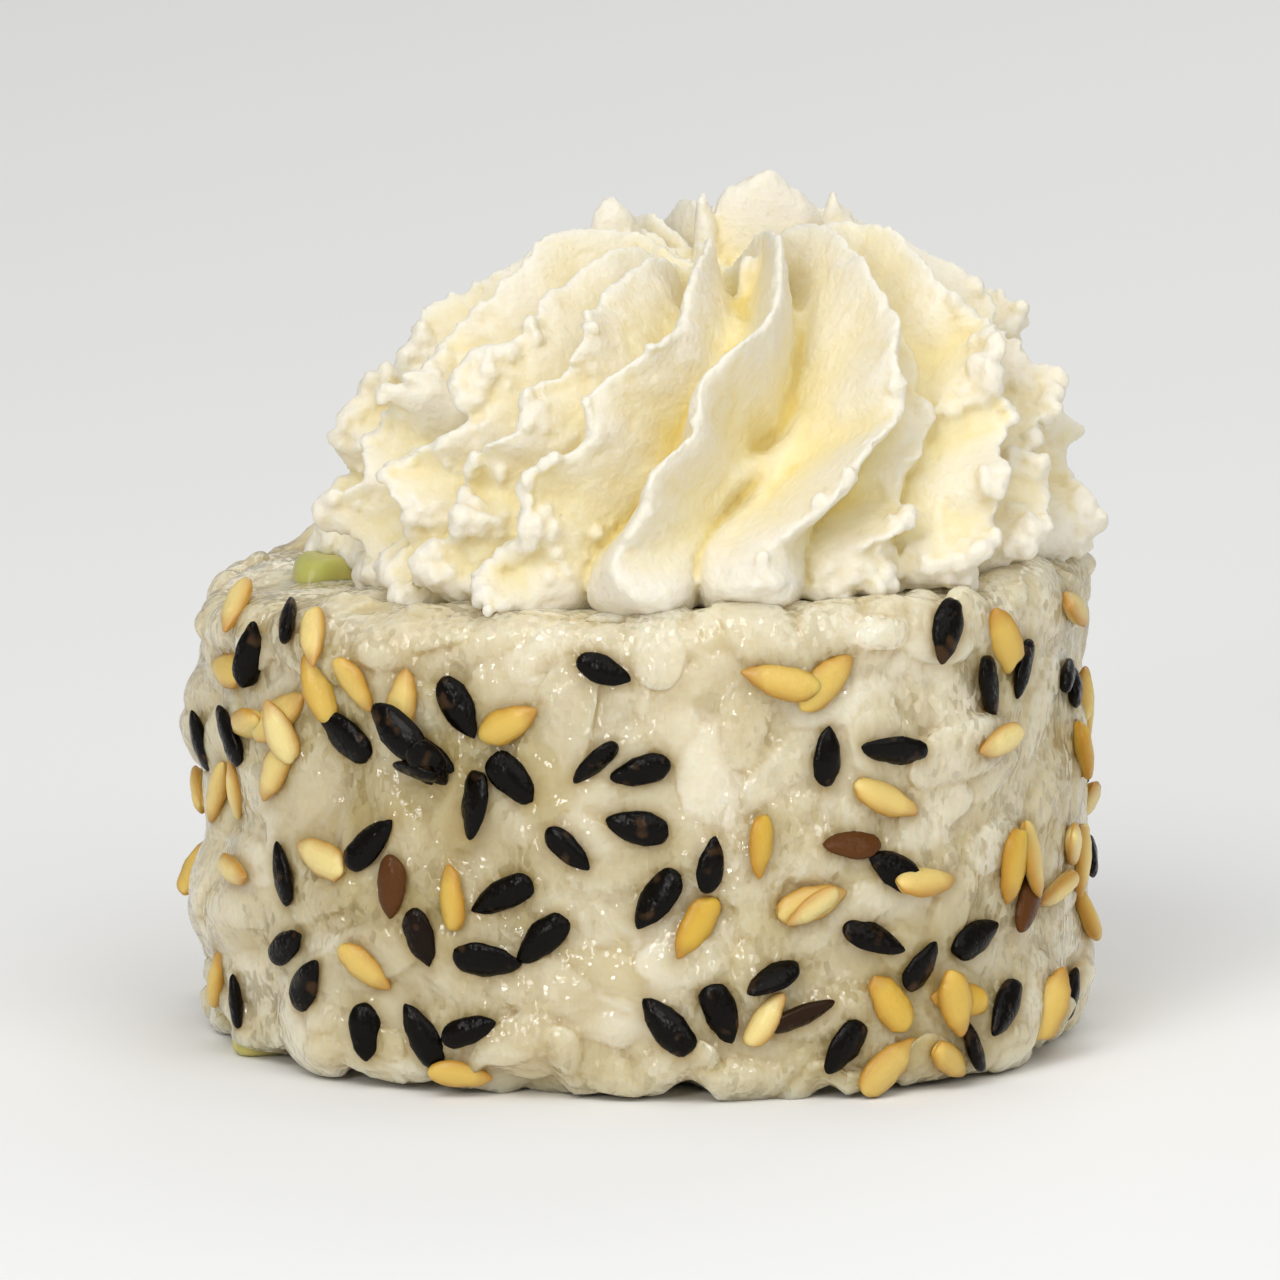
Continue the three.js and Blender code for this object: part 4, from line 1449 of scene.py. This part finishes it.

# %% [markdown]
# ## Cream cheese and avocado
#
# The cheese scatters light so strongly that its valleys fill with warm yellow light and its torn
# lips look almost white. Both are also painted into its colour: a yellow painted shade in the
# valleys and pits, and a whiter painted highlight on the lips. The avocado is the same kind of
# soft, smooth flesh in green.

# %% The last two materials
def cream_finish():
    finish = Finish("whipped_cream_cheese", Patch_Scale=220, Grit_Scale=2600, Grit_Height=0.08)
    slope = finish.blend(finish.patches(0.35, 0.65), (0.83, 0.77, 0.59), (0.82, 0.74, 0.51))
    # The valleys' painted shade turns deep amber at their floors.
    deepest = finish.spread(finish.painted("valley_shade"), 0.65, 1.0, 0.0, 0.7)
    colour = finish.layered(
        slope,
        # Painted highlight on the lips, then painted shade in the valleys, at their floors and in
        # the pits.
        (finish.painted("lip"), (0.82, 0.77, 0.65)),
        (finish.painted("valley_shade"), (0.82, 0.70, 0.30)),
        (deepest, (0.70, 0.50, 0.07)),
        (finish.painted("pit_shade", 0.4), (0.79, 0.67, 0.35)),
    )
    finish.connect(colour, "Base Color")
    finish.connect(finish.patches(0.3, 0.7, 0.42, 0.6), "Roughness")
    finish.glow(0.4, (1.0, 0.84, 0.46), 0.9)
    finish.set(IOR=1.4)
    finish.bump()
    finish.dress(cream)


def avocado_finish():
    finish = Finish("avocado_flesh", Patch_Scale=260, Grit_Scale=1800, Grit_Height=0.06)
    flesh = finish.blend(finish.patches(0.35, 0.65), (0.62, 0.55, 0.17), (0.48, 0.47, 0.13))
    finish.connect(flesh, "Base Color")
    finish.set(Roughness=0.32, IOR=1.4)
    finish.glow(0.8, (0.8, 1.0, 0.3), 1.2)
    finish.bump()
    finish.dress(avocado)


cream_finish()
avocado_finish()

# %% [markdown]
# ## Standing for the solids
#
# Every piece rides on the one body. The rice and the seeds stand for the rice's solid, and the
# avocado and the cream each stand for theirs.

# %% Ride and replace
for piece, slot in (
    (rice, "sesame_rice"),
    (black_sesame, "sesame_rice"),
    (golden_sesame, "sesame_rice"),
    (avocado, "avocado"),
    (cream, "cream_cheese"),
):
    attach(piece, "root")
for piece in (rice, black_sesame, golden_sesame):
    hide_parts("rice_roll")
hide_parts("avocado_strip")
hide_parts("cream_cheese")
print("all five pieces ride on the one body")

# %% [markdown]
# ## A plain studio
#
# Food this pale is shot on white under large soft lights: one from the upper left, a broad one
# from the right, one above, and a little from behind to light the rice through. A small one low
# at the front brings out the glints. The camera stands back with a long lens, 10 degrees above
# the table.

# %% The floor
FLOOR_SIZE = 3.0


def studio_floor():
    half = FLOOR_SIZE / 2 / MM
    corners = [(-half, -half, 0), (half, -half, 0), (half, half, 0), (-half, half, 0)]
    floor = make_piece("floor", corners, [(0, 1, 2, 3)])
    paper = bpy.data.materials.new("white_paper")
    paper.use_nodes = True
    shader = paper.node_tree.nodes["Principled BSDF"]
    shader.inputs["Base Color"].default_value = (0.9, 0.9, 0.89, 1)
    shader.inputs["Roughness"].default_value = 0.9
    shader.inputs["Specular IOR Level"].default_value = 0
    floor.data.materials.append(paper)
    floor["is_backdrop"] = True


studio_floor()
print("floor:", FLOOR_SIZE, "metres across")

# %% The lights
def soft_light(name, place, size, power):
    """A square area light at a place in metres that looks at the roll."""
    light = bpy.data.lights.new(name, "AREA")
    light.size = size
    light.energy = power
    lamp = bpy.data.objects.new(name, light)
    lamp.location = place
    lamp.rotation_euler = (Vector((0, 0, 0.02)) - Vector(place)).to_track_quat("-Z", "Y").to_euler()
    bpy.context.collection.objects.link(lamp)


def studio_light():
    world = bpy.data.worlds.new("studio")
    world.use_nodes = True
    world.node_tree.nodes["Background"].inputs["Color"].default_value = (1, 1, 1, 1)
    world.node_tree.nodes["Background"].inputs["Strength"].default_value = 0.28
    bpy.context.scene.world = world
    soft_light("key", (-0.20, -0.48, 0.52), 0.32, 1.9)
    soft_light("front", (-0.26, -0.62, 0.24), 0.14, 0.9)
    soft_light("softbox", (0.30, -0.45, 0.40), 0.50, 1.2)
    soft_light("above", (0.10, -0.05, 0.70), 0.60, 1.1)
    soft_light("back", (0.15, 0.45, 0.35), 0.30, 0.5)


studio_light()
print("lights:", len(bpy.data.lights))

# %% The camera
# The side and the middle of the photo's square that the frame shows, where the middle of the base
# is in the photo, and how many of its pixels a millimetre takes.
PHOTO_SQUARE = 520
PHOTO_MIDDLE = (368, 845)
PHOTO_ORIGIN = (370, 1000)
PHOTO_SCALE = 8.42
ELEVATION = math.radians(10)
DISTANCE = 0.95


def studio_camera():
    aside = (PHOTO_MIDDLE[0] - PHOTO_ORIGIN[0]) / PHOTO_SCALE * MM
    above = (PHOTO_ORIGIN[1] - PHOTO_MIDDLE[1]) / PHOTO_SCALE * MM
    target = Vector((aside, 0, above / math.cos(ELEVATION)))
    camera = bpy.data.cameras.new("camera")
    camera.sensor_width = 36
    camera.lens = camera.sensor_width * DISTANCE / (PHOTO_SQUARE / PHOTO_SCALE * MM)
    camera.clip_start = 0.01
    seen = bpy.data.objects.new("camera", camera)
    seen.location = target + DISTANCE * Vector((0, -math.cos(ELEVATION), math.sin(ELEVATION)))
    seen.rotation_euler = (math.pi / 2 - ELEVATION, 0, 0)
    bpy.context.collection.objects.link(seen)
    bpy.context.scene.camera = seen


studio_camera()
bpy.context.scene.view_settings.view_transform = "Standard"
print("camera:", round(bpy.context.scene.camera.data.lens), "mm lens")

# %% Both boxes, at the finish
boxes = {"solids": solid_box, "dressed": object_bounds()}
{name: [list(corner) for corner in box] for name, box in boxes.items()}
